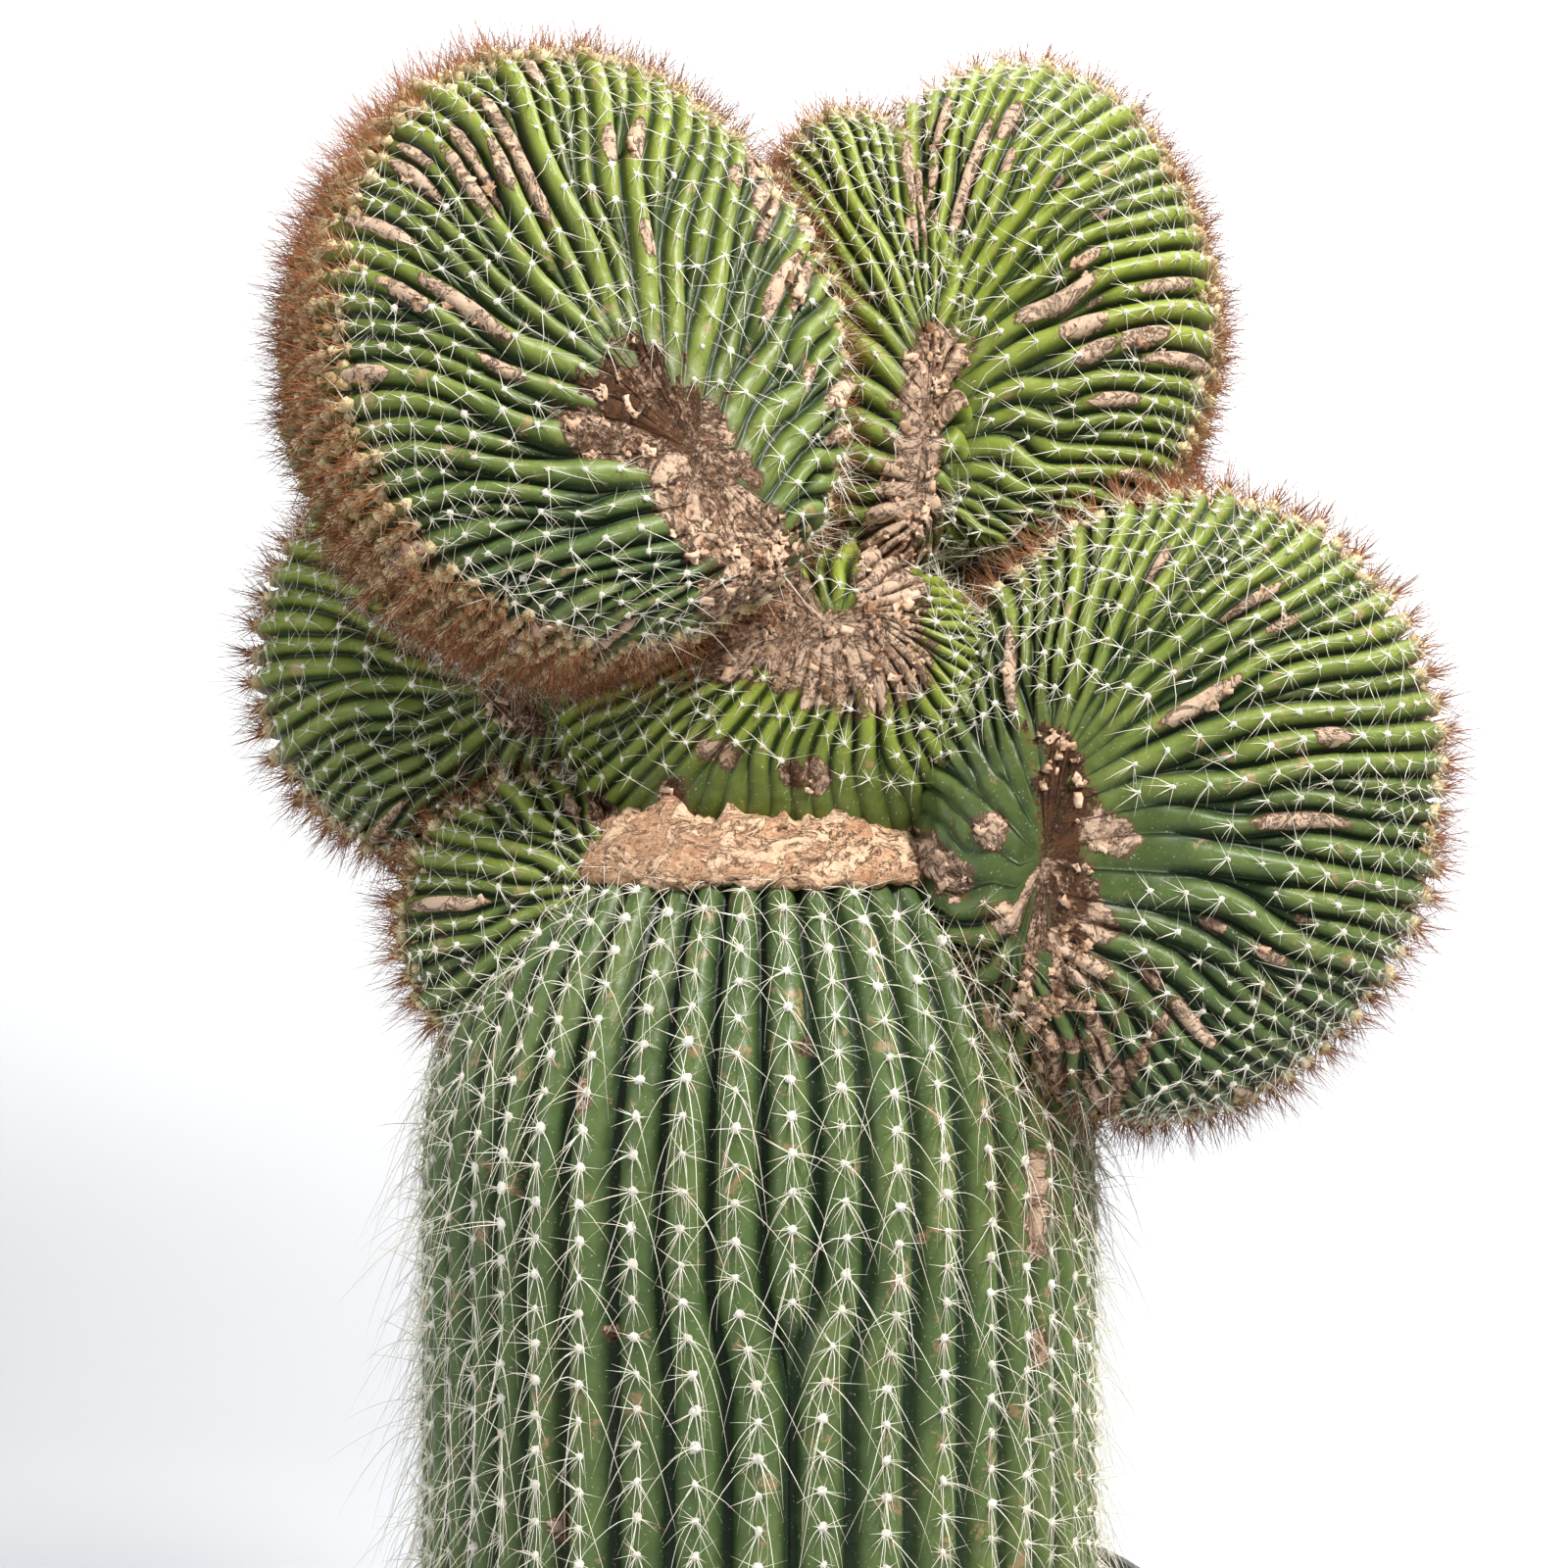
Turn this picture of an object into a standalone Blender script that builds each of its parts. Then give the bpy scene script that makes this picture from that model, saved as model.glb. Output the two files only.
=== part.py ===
"""A tall ribbed column cactus with a crested head, growing in a round nursery pot.

Metres, +Z up, and the front of the plant faces -Y. The origin is the middle of the pot's underside.
"""
import math
from dataclasses import dataclass

import bmesh
import bpy
from mathutils import Matrix, Vector

# ---------------------------------------------------------------- driving sizes, in metres
CLEARANCE = 0.0003  # left between pieces that touch
WELD = 0.000001  # points this close are one point

STEM_TO_RIM = 0.034  # from the stem's mean radius out to the edge of the pot's rim
POT_HEIGHT = 0.260
POT_FOOT_RADIUS = 0.112
POT_WALL = 0.0028
POT_FLOOR = 0.0040
LIP_DROP = 0.022  # height of the rolled rim
LIP_PROUD = 0.0055  # how far the rim stands out from the wall
LIP_LEDGE = 0.0030  # width of the step inside the rim
SHOULDER_RING_DROP = 0.070  # height below the rim of the moulded step in the wall
SHOULDER_RING_STEP = 0.0016
DRAIN_HOLES = 8
DRAIN_HOLE_RADIUS = 0.0070
DRAIN_RING_SHARE = 0.80  # where the holes stand, as a share of the foot radius

SOIL_BELOW_RIM = 0.026
STEM_SET_IN = 0.030  # depth of the stem's foot in the potting mix

STEM_RADIUS = 0.1160  # to the mean of ribs and furrows
STEM_OFFSET = -0.008  # the stem stands a little left of the pot's middle
STEM_SHOULDER_HEIGHT = 0.425  # above the ground, where the side begins to round over
STEM_DOME_RISE = 0.142  # from the shoulder to the top of the dome
STEM_RIBS = 44
STEM_RIB_RELIEF = 0.0030

CALLUS_RADIUS = 0.0735  # the corky collar under the crest
CALLUS_HEIGHT = 0.030
CALLUS_MIDDLE = 0.541  # above the ground
CALLUS_EDGE = 0.006

CREST_GROWTH = 1.0  # grows or shrinks the whole crest about the top of the stem
CREST_RIB_RELIEF = 0.0020


@dataclass
class Lobe:
    """One fan of the crest: a cushion whose ribs run out from a scar on its face and over its rim."""

    name: str
    middle: tuple  # from the crest's foot: right, back, up
    half_wide: float
    half_tall: float
    front: float  # how far the face stands out from the plane of the rim
    back: float
    lean: float  # degrees, turns the outline clockwise
    yaw: float  # degrees, turns the face to the right
    nod: float  # degrees, tips the face up
    fullness: float  # 1 is an ellipsoid, less is squarer with a broad growing edge
    scar: tuple  # middle of the scar, in shares of the half sizes
    scar_run: tuple  # half of the scar's length, in the same shares
    ribs: int


LOBES = (
    Lobe("upper_left", (-0.074, -0.052, 0.161), 0.089, 0.103, 0.058, 0.058,
         4, 24, 10, 0.62, (0.33, -0.48), (0.24, -0.24), 40),
    Lobe("upper_middle", (0.029, 0.006, 0.176), 0.040, 0.089, 0.044, 0.045,
         -4, 4, 4, 0.85, (0.40, -0.42), (-0.10, -0.30), 26),
    Lobe("upper_right", (0.090, 0.014, 0.190), 0.066, 0.094, 0.048, 0.052,
         -6, -12, 6, 0.72, (-0.50, -0.50), (-0.06, -0.26), 34),
    Lobe("right", (0.133, -0.036, 0.014), 0.087, 0.106, 0.050, 0.056,
         16, -6, 2, 0.74, (-0.42, -0.16), (0.02, -0.26), 42),
    Lobe("left", (-0.118, 0.012, 0.066), 0.070, 0.073, 0.046, 0.048,
         0, 10, 2, 0.78, (0.36, -0.22), (0.10, -0.06), 30),
    Lobe("low_left", (-0.084, -0.020, -0.026), 0.048, 0.050, 0.038, 0.040,
         0, 12, -4, 0.82, (0.50, 0.34), (0.04, 0.02), 20),
    Lobe("neck", (0.004, -0.016, 0.042), 0.080, 0.062, 0.056, 0.062,
         0, 0, 6, 0.84, (0.14, 0.48), (0.16, 0.02), 30),
    Lobe("rear", (0.020, 0.040, 0.102), 0.084, 0.098, 0.046, 0.060,
         0, 180, 4, 0.80, (0.0, -0.30), (0.10, 0.0), 34),
)

# ---------------------------------------------------------------- mesh steps
LOBE_RINGS = 11
POT_STEPS = 72
SOCKET_STEPS = 64
DOME_RINGS = 6
SIDE_RINGS = 6
HOLE_STEPS = 16
STEP_OF_SLOPE = 1e-3  # used to find the slope of a lobe's surface
CUT_OVERRUN = 0.010

# ---------------------------------------------------------------- sizes that follow
SOIL_TOP = POT_HEIGHT - SOIL_BELOW_RIM
STEM_FOOT = SOIL_TOP - STEM_SET_IN
STEM_AXIS = Vector((STEM_OFFSET, 0.0, 0.0))
CREST_FOOT = Vector((0.0, 0.0, CALLUS_MIDDLE))
POT_RIM_RADIUS = STEM_RADIUS + STEM_TO_RIM
WALL_TOP_RADIUS = POT_RIM_RADIUS - LIP_PROUD


def clear_scene():
    for thing in list(bpy.data.objects):
        bpy.data.objects.remove(thing, do_unlink=True)


def new_collection(name):
    made = bpy.data.collections.new(name)
    bpy.context.scene.collection.children.link(made)
    return made


def plain_material(name, colour, roughness):
    material = bpy.data.materials.new(name)
    material.use_nodes = True
    shader = material.node_tree.nodes["Principled BSDF"]
    shader.inputs["Base Color"].default_value = (*colour, 1.0)
    shader.inputs["Roughness"].default_value = roughness
    material.diffuse_color = (*colour, 1.0)
    return material


def object_of(name, mesh_builder, collection, material=None):
    mesh = bpy.data.meshes.new(name)
    mesh_builder.to_mesh(mesh)
    mesh_builder.free()
    if material:
        mesh.materials.append(material)
    made = bpy.data.objects.new(name, mesh)
    collection.objects.link(made)
    return made


def smooth(thing, degrees):
    """Rounds the shading, and keeps an edge sharper than this angle crisp."""
    thing.data.shade_smooth()
    thing.data.set_sharp_from_angle(angle=math.radians(degrees))


def turned(name, profile, steps, collection, material=None):
    """A solid of revolution about Z. The profile runs down the outer side, from top to bottom."""
    builder = bmesh.new()
    points = [builder.verts.new((radius, 0.0, height)) for radius, height in profile]
    for upper, lower in zip(points, points[1:]):
        builder.edges.new((upper, lower))
    made = object_of(name, builder, collection, material)
    screw = made.modifiers.new("turn", "SCREW")
    screw.axis = "Z"
    screw.steps = steps
    screw.render_steps = steps
    screw.use_merge_vertices = True
    screw.merge_threshold = 0.00001
    screw.use_normal_calculate = True
    return made


def baked(thing, name, collection, material=None):
    """The thing with its modifiers worked out, as a plain mesh of its own."""
    graph = bpy.context.evaluated_depsgraph_get()
    mesh = bpy.data.meshes.new_from_object(thing.evaluated_get(graph), depsgraph=graph)
    mesh.name = name
    if material:
        mesh.materials.clear()
        mesh.materials.append(material)
    made = bpy.data.objects.new(name, mesh)
    collection.objects.link(made)
    return made


def face_outwards(thing):
    """Closes the seam where a turned profile meets its own start, then turns every face out."""
    builder = bmesh.new()
    builder.from_mesh(thing.data)
    bmesh.ops.remove_doubles(builder, verts=builder.verts, dist=WELD)
    bmesh.ops.recalc_face_normals(builder, faces=builder.faces)
    builder.to_mesh(thing.data)
    builder.free()


def keep_outer_skin(thing):
    """Drops the small sealed pockets that a join can leave where several ribbed skins cross."""
    builder = bmesh.new()
    builder.from_mesh(thing.data)
    waiting = set(builder.verts)
    skins = []
    while waiting:
        skin = set()
        edge_of_search = [waiting.pop()]
        while edge_of_search:
            vert = edge_of_search.pop()
            skin.add(vert)
            near = {edge.other_vert(vert) for edge in vert.link_edges} & waiting
            waiting -= near
            edge_of_search.extend(near)
        skins.append(skin)
    skins.sort(key=len)
    for pocket in skins[:-1]:
        bmesh.ops.delete(builder, geom=list(pocket), context="VERTS")
    builder.to_mesh(thing.data)
    builder.free()


def boolean(thing, other, operation):
    change = thing.modifiers.new(operation.lower(), "BOOLEAN")
    change.operation = operation
    change.solver = "EXACT"
    change.object = other
    return change


# ---------------------------------------------------------------- pot
def wall_radius(height):
    """Outer radius of the tapered wall at this height."""
    share = height / (POT_HEIGHT - LIP_DROP)
    return POT_FOOT_RADIUS + (WALL_TOP_RADIUS - POT_FOOT_RADIUS) * share


def pot_profile():
    lip_foot = POT_HEIGHT - LIP_DROP
    ring = POT_HEIGHT - SHOULDER_RING_DROP
    soften = 0.0012
    foot_round = 0.0040
    outer = [
        (WALL_TOP_RADIUS - POT_WALL + LIP_LEDGE, POT_HEIGHT - soften),
        (WALL_TOP_RADIUS - POT_WALL + LIP_LEDGE + soften, POT_HEIGHT),
        (POT_RIM_RADIUS - soften, POT_HEIGHT),
        (POT_RIM_RADIUS, POT_HEIGHT - soften),
        (POT_RIM_RADIUS - soften, lip_foot + soften),
        (POT_RIM_RADIUS - 2 * soften, lip_foot),
        (wall_radius(lip_foot) + soften, lip_foot),
        (wall_radius(lip_foot), lip_foot - soften),
        (wall_radius(ring) + SHOULDER_RING_STEP / 4, ring + SHOULDER_RING_STEP),
        (wall_radius(ring) - SHOULDER_RING_STEP, ring - SHOULDER_RING_STEP),
        (POT_FOOT_RADIUS, foot_round),
        (POT_FOOT_RADIUS - foot_round, 0.0),
        (0.0, 0.0),
    ]
    corner = inside_radius(POT_FLOOR + foot_round)
    inner = [
        (0.0, POT_FLOOR),
        (corner - foot_round, POT_FLOOR),
        (corner, POT_FLOOR + foot_round),
        (inside_radius(lip_foot), lip_foot),
        (WALL_TOP_RADIUS - POT_WALL, POT_HEIGHT - 2 * LIP_LEDGE),
    ]
    return outer, inner


def inside_radius(height):
    """Radius of the space inside the wall at this height, which clears the moulded step."""
    return wall_radius(height) - POT_WALL - SHOULDER_RING_STEP


def build_pot(collection, cutters, material):
    outer, inner = pot_profile()
    blank = turned("pot_blank", outer + inner + outer[:1], POT_STEPS, cutters)
    pot = baked(blank, "pot", collection, material)
    bpy.data.objects.remove(blank, do_unlink=True)
    face_outwards(pot)
    builder = bmesh.new()
    for index in range(DRAIN_HOLES):
        angle = 2 * math.pi * (index + 0.5) / DRAIN_HOLES
        ring = DRAIN_RING_SHARE * POT_FOOT_RADIUS
        place = Matrix.Translation((ring * math.cos(angle), ring * math.sin(angle), POT_FLOOR / 2))
        bmesh.ops.create_cone(
            builder,
            cap_ends=True,
            segments=HOLE_STEPS,
            radius1=DRAIN_HOLE_RADIUS,
            radius2=DRAIN_HOLE_RADIUS,
            depth=POT_FLOOR + CUT_OVERRUN,
            matrix=place,
        )
    holes = object_of("drain_holes_cutter", builder, cutters)
    boolean(pot, holes, "DIFFERENCE")
    smooth(pot, 35)
    return pot


# ---------------------------------------------------------------- potting mix
def build_soil(collection, cutters, material):
    """The fill follows the inside of the pot, with a round socket for the stem's foot."""
    floor = POT_FLOOR + CLEARANCE
    foot_round = 0.006
    rounded = 0.003
    profile = [
        (0.0, SOIL_TOP),
        (inside_radius(SOIL_TOP) - CLEARANCE - rounded, SOIL_TOP),
        (inside_radius(SOIL_TOP) - CLEARANCE - rounded / 4, SOIL_TOP - rounded),
        (inside_radius(floor + foot_round) - CLEARANCE - rounded / 4, floor + foot_round),
        (inside_radius(floor) - foot_round - CLEARANCE, floor),
        (0.0, floor),
    ]
    blank = turned("soil_blank", profile, POT_STEPS, cutters)
    soil = baked(blank, "potting_mix", collection, material)
    bpy.data.objects.remove(blank, do_unlink=True)
    face_outwards(soil)
    builder = bmesh.new()
    depth = STEM_SET_IN + CLEARANCE + CUT_OVERRUN
    bmesh.ops.create_cone(
        builder,
        cap_ends=True,
        segments=SOCKET_STEPS,
        radius1=socket_radius(),
        radius2=socket_radius(),
        depth=depth,
        matrix=Matrix.Translation(STEM_AXIS + Vector((0.0, 0.0, STEM_FOOT - CLEARANCE + depth / 2))),
    )
    socket = object_of("stem_socket_cutter", builder, cutters)
    boolean(soil, socket, "DIFFERENCE")
    smooth(soil, 35)
    return soil


def socket_radius():
    """Clears the rib crests, also midway along the flats of a many-sided hole."""
    crest = STEM_RADIUS + STEM_RIB_RELIEF
    return (crest + CLEARANCE) / math.cos(math.pi / SOCKET_STEPS)


# ---------------------------------------------------------------- cactus
def stem_station(row):
    """Radius and height of one ring of the stem, counted down from the top of the dome."""
    if row <= DOME_RINGS:
        rise = math.pi / 2 * (1 - row / DOME_RINGS)
        height = STEM_SHOULDER_HEIGHT + STEM_DOME_RISE * math.sin(rise)
        return STEM_RADIUS * math.cos(rise), height
    share = (row - DOME_RINGS) / SIDE_RINGS
    return STEM_RADIUS, STEM_SHOULDER_HEIGHT + (STEM_FOOT - STEM_SHOULDER_HEIGHT) * min(share, 1.0)


def build_stem(collection):
    rows = DOME_RINGS + SIDE_RINGS + 1
    segments = 2 * STEM_RIBS
    builder = bmesh.new()
    bmesh.ops.create_uvsphere(builder, u_segments=segments, v_segments=rows, radius=1.0)
    for vert in builder.verts:
        row = round(math.acos(max(-1.0, min(1.0, vert.co.z))) / math.pi * rows)
        turn = math.atan2(vert.co.y, vert.co.x)
        radius, height = stem_station(row)
        if row == rows:
            radius, height = 0.0, STEM_FOOT
        crest = 1 if round(turn / (2 * math.pi) * segments) % 2 == 0 else -1
        relief = STEM_RIB_RELIEF * min(1.0, radius / STEM_RADIUS) * crest
        reach = max(0.0, radius + (relief if radius > 0 else 0.0))
        vert.co = Vector((reach * math.cos(turn), reach * math.sin(turn), height)) + STEM_AXIS
    return object_of("stem_body", builder, collection)


def lobe_frame(lobe):
    """Places a lobe's own frame: its X runs across the face, its Y up it, and its Z out of it."""
    stand = Matrix(((1, 0, 0), (0, 0, -1), (0, 1, 0))).to_4x4()
    yaw = Matrix.Rotation(math.radians(lobe.yaw), 4, "Z")
    nod = Matrix.Rotation(math.radians(-lobe.nod), 4, "X")
    lean = Matrix.Rotation(math.radians(-lobe.lean), 4, "Z")
    place = Matrix.Translation(CREST_FOOT + Vector(lobe.middle) * CREST_GROWTH)
    return place @ yaw @ nod @ stand @ lean @ Matrix.Scale(CREST_GROWTH, 4)


def cushion(lobe, turn, fall):
    """A point of the smooth lobe: turn goes round the face, fall runs from its front to its back."""
    spread = math.sin(math.pi * fall) ** lobe.fullness
    level = math.cos(math.pi * fall)
    depth = abs(level) ** lobe.fullness * (lobe.front if level > 0 else -lobe.back)
    rim = Vector((lobe.half_wide * math.cos(turn), lobe.half_tall * math.sin(turn), 0.0))
    start = Vector((0.0, 0.0, 0.0))
    if level > 0:
        run = Vector((lobe.half_wide * lobe.scar_run[0], lobe.half_tall * lobe.scar_run[1], 0.0))
        start = Vector((lobe.half_wide * lobe.scar[0], lobe.half_tall * lobe.scar[1], 0.0))
        if run.length > 0:
            start = start + run * math.cos(turn - math.atan2(run.y, run.x))
    return start + (rim - start) * spread + Vector((0.0, 0.0, depth))


def cushion_normal(lobe, turn, fall):
    here = cushion(lobe, turn, fall)
    along = cushion(lobe, turn + STEP_OF_SLOPE, fall) - here
    down = cushion(lobe, turn, fall + STEP_OF_SLOPE) - here
    return down.cross(along).normalized()


def build_lobe(lobe, collection):
    segments = 2 * lobe.ribs
    builder = bmesh.new()
    bmesh.ops.create_uvsphere(builder, u_segments=segments, v_segments=LOBE_RINGS, radius=1.0)
    frame = lobe_frame(lobe)
    for vert in builder.verts:
        fall = math.acos(max(-1.0, min(1.0, vert.co.z))) / math.pi
        turn = math.atan2(vert.co.y, vert.co.x)
        crest = 1 if round(turn / (2 * math.pi) * segments) % 2 == 0 else -1
        at_pole = fall < 1e-3 or fall > 1 - 1e-3
        spot = cushion(lobe, turn, min(max(fall, 0.0), 1.0))
        if at_pole:
            spot.x = lobe.half_wide * lobe.scar[0] if fall < 0.5 else 0.0
            spot.y = lobe.half_tall * lobe.scar[1] if fall < 0.5 else 0.0
        else:
            relief = CREST_RIB_RELIEF * min(1.0, math.sin(math.pi * fall) / 0.7)
            spot += cushion_normal(lobe, turn, fall) * relief * crest
        vert.co = frame @ spot
    bmesh.ops.recalc_face_normals(builder, faces=builder.faces)
    return object_of(lobe.name + "_lobe", builder, collection)


def build_callus(collection):
    low = CALLUS_MIDDLE - CALLUS_HEIGHT / 2
    high = CALLUS_MIDDLE + CALLUS_HEIGHT / 2
    profile = [
        (0.0, high),
        (CALLUS_RADIUS - CALLUS_EDGE, high),
        (CALLUS_RADIUS, high - CALLUS_EDGE),
        (CALLUS_RADIUS, low + CALLUS_EDGE),
        (CALLUS_RADIUS - CALLUS_EDGE, low),
        (0.0, low),
    ]
    blank = turned("callus_blank", profile, 48, collection)
    callus = baked(blank, "callus_ring", collection)
    bpy.data.objects.remove(blank, do_unlink=True)
    callus.data.transform(Matrix.Translation(STEM_AXIS))
    face_outwards(callus)
    return callus


def build_cactus(collection, helpers, material):
    """The stem, the corky collar and every fan of the crest are joined, because they grew as one."""
    stem = build_stem(helpers)
    bodies = [build_callus(helpers)] + [build_lobe(lobe, helpers) for lobe in LOBES]
    for body in bodies:
        boolean(stem, body, "UNION")
    cactus = baked(stem, "cactus", collection, material)
    keep_outer_skin(cactus)
    smooth(cactus, 40)
    for body in bodies + [stem]:
        bpy.data.objects.remove(body, do_unlink=True)
    return cactus


def main():
    clear_scene()
    plant = new_collection("potted_crested_cactus")
    cutters = new_collection("cutters")
    flesh = plain_material("cactus_flesh", (0.13, 0.26, 0.07), 0.55)
    plastic = plain_material("pot_plastic", (0.03, 0.03, 0.032), 0.50)
    mix = plain_material("potting_mix_soil", (0.09, 0.06, 0.04), 0.95)
    build_pot(plant, cutters, plastic)
    build_soil(plant, cutters, mix)
    build_cactus(plant, cutters, flesh)
    for helper in cutters.objects:
        helper.display_type = "WIRE"
    cutters.hide_render = True


main()
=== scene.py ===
"""The looks of a tall ribbed cactus with a crested head, growing in a round nursery pot.

Metres, +Z up, and the front of the plant faces -Y.
"""
import math
from dataclasses import dataclass

import bpy
import numpy as np
from mathutils import Matrix, Vector
from mathutils.bvhtree import BVHTree


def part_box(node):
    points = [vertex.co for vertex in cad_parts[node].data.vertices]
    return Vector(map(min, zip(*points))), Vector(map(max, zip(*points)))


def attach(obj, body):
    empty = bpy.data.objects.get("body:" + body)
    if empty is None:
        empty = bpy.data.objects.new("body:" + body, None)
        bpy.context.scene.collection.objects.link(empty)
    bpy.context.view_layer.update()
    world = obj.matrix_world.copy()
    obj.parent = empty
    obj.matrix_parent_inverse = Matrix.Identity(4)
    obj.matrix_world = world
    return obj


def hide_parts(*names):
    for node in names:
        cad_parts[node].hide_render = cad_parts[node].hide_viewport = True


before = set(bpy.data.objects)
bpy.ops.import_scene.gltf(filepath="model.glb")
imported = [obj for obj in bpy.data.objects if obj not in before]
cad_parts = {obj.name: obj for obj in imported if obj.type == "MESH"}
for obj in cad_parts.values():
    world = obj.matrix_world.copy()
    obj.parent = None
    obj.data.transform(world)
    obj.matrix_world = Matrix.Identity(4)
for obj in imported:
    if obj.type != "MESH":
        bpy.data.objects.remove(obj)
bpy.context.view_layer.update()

# ---- places that the CAD gives
plant_low, plant_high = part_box("cactus")
pot_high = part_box("pot")[1]
mix_low, mix_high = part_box("potting_mix")

# ---- sizes of the plant, in metres
SEED = 11
CREST_RISE = 0.2856  # from the middle of the collar to the top of the crest
CREST_FOOT = Vector((0.0, 0.0, plant_high.z - CREST_RISE))

STEM_RADIUS = 0.1160
STEM_OFFSET = -0.008
STEM_SHOULDER_HEIGHT = 0.425
STEM_DOME_RISE = 0.142
STEM_RIBS = 45
STEM_CLOSING_RIB = 34  # counted round from the right, so this one faces the front
STEM_ROWS = 160
STEM_RELIEF = 0.0072

COLLAR_RADIUS = 0.0680
COLLAR_DEPTH = 0.0120
COLLAR_HALF_HEIGHT = 0.0125
COLLAR_SLANT = 0.62  # the collar leans in towards the top
COLLAR_FLAKES = 90
# Where each spur of the collar's torn edge stands, in radians, and how wide and tall it is.
COLLAR_SPURS = (-2.02, 0.055, 0.015), (-1.16, 0.05, 0.008), (-1.72, 0.045, 0.006), (0.6, 0.06, 0.012)

COLUMNS_PER_RIB = 8
FORK_OPENS_OVER = 0.30  # share of the fan in which a new rib grows to full width
RIB_DEPTH_SHARE = 0.62  # depth of a furrow, as a share of the rib's width
RIB_MOST_DEPTH = 0.0056
RIB_FULLNESS = 3.0  # 2 is a round rib, more is flatter on top with a narrower furrow
BUMP_HEIGHT = 0.0007  # swelling of a rib under each areole
AREOLE_STEP = 0.0112
EDGE_AREOLE_STEP = 0.0052
EDGE_AREOLE_ROOM = 5.4e-5  # square metres of growing edge for each crowded areole
GRIT_SIZE = 0.0026
GRIT_COUNT = 2600
FLAKE_RAGGED = 0.0005  # how far a flake's corners stray
LONGEST_EDGE_BRISTLE = 0.0178
HIDDEN_DEPTH = 0.0050  # an areole this deep inside the plant is left out
SMALL_TURN = 1e-3

# Shares of the way from a fan's scar to its rim.
FORKS_OPEN = (0.20, 0.66)  # where the first and the last new rib open
MELTED_TO = 0.10  # the ribs run together this far out
RIBS_STAND_OVER = 0.16  # and are all apart after this much more
FURROWS_DEEPEN_OVER = 0.35

EDGE_FADES_OVER = 0.040  # from the growing edge to areoles at their usual distance
NARROWEST_BEARING_RIB = 0.0028  # a narrower rib has no areoles
PATCH_ZONE = (0.16, 0.44)  # where a patch lies, as a share of its rib
PATCH_LENGTH = (0.005, 0.020)
PATCH_WIDTH = (0.7, 1.1)  # in half widths of the rib
PATCH_SHIFT = 0.2
FLAKING_SHARE = 0.025  # of the points of torn cork


@dataclass
class Fan:
    """One fan of the crest: a cushion whose ribs run out from a scar on its face and over its rim."""

    name: str
    middle: tuple  # from the crest's foot: right, back, up
    half_wide: float
    half_tall: float
    front: float  # how far the face stands out from the plane of the rim
    back: float
    lean: float  # degrees, turns the outline clockwise
    yaw: float  # degrees, turns the face to the right
    nod: float  # degrees, tips the face up
    fullness: float  # 1 is an ellipsoid, less is squarer with a broad growing edge
    scar: tuple  # middle of the scar, in shares of the half sizes
    scar_run: tuple  # half of the scar's length, in the same shares
    first_ribs: int
    forks: int
    rows: int
    droop: float  # radians that the ribs sink by the time they reach the rim
    sunlit: float  # painted light: 0 is painted shade on blue-green flesh, 1 is painted sunlight on yellow-green
    edge: float  # half width of the bristly growing edge, in metres
    edge_forward: float  # how far that edge sits in front of the rim
    patches: int  # corky patches on the ribs


FANS = (
    Fan("upper_left", (-0.074, -0.052, 0.161), 0.089, 0.103, 0.058, 0.058,
        4, 24, 10, 0.62, (0.33, -0.48), (0.24, -0.24), 26, 46, 108, 0.05, 0.50, 0.024, 0.013, 50),
    Fan("upper_middle", (0.029, 0.006, 0.176), 0.040, 0.089, 0.044, 0.045,
        -4, 4, 4, 0.85, (0.40, -0.42), (-0.10, -0.30), 24, 22, 80, 0.05, 0.80, 0.013, 0.005, 18),
    Fan("upper_right", (0.090, 0.014, 0.190), 0.066, 0.094, 0.048, 0.052,
        -6, -12, 6, 0.72, (-0.50, -0.50), (-0.06, -0.26), 26, 36, 92, 0.16, 1.00, 0.014, 0.004, 60),
    Fan("right", (0.133, -0.036, 0.014), 0.087, 0.106, 0.050, 0.056,
        16, -6, 2, 0.74, (-0.45, -0.29), (0.02, -0.26), 28, 46, 104, 0.10, 0.35, 0.013, 0.004, 26),
    Fan("left", (-0.118, 0.012, 0.066), 0.070, 0.073, 0.046, 0.048,
        0, 10, 2, 0.78, (0.36, -0.22), (0.10, -0.06), 24, 30, 80, 0.25, 0.62, 0.012, 0.004, 6),
    Fan("low_left", (-0.084, -0.020, -0.026), 0.048, 0.050, 0.038, 0.040,
        0, 12, -4, 0.82, (0.50, 0.34), (0.04, 0.02), 18, 20, 62, 0.15, 0.35, 0.009, 0.004, 2),
    Fan("neck", (0.004, -0.016, 0.042), 0.080, 0.062, 0.056, 0.062,
        0, 0, 6, 0.84, (0.14, 0.48), (0.16, 0.02), 34, 20, 72, 0.00, 0.95, 0.002, 0.000, 8),
    Fan("rear", (0.020, 0.040, 0.102), 0.084, 0.098, 0.046, 0.060,
        0, 180, 4, 0.80, (0.0, -0.30), (0.10, 0.0), 26, 36, 88, 0.08, 0.40, 0.010, 0.004, 16),
)


BLISTERED = 0.02  # darkness of a round blister of pale cork, which stands out in a dome
BLISTER_RISE = 0.0028


@dataclass
class Coat:
    """One kind of spine: how many grow from an areole, which way, how long and how thick."""

    name: str
    per: int
    rise: float  # degrees off the skin
    rise_spread: float
    reach: float
    reach_spread: float
    lead: float  # how far it leans along its rib, away from the scar
    share: float  # of all of them, those that are still there
    hang: tuple  # how far its tip sinks and strays, in shares of its reach
    thickness: float
    joints: int
    finish: str


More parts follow.
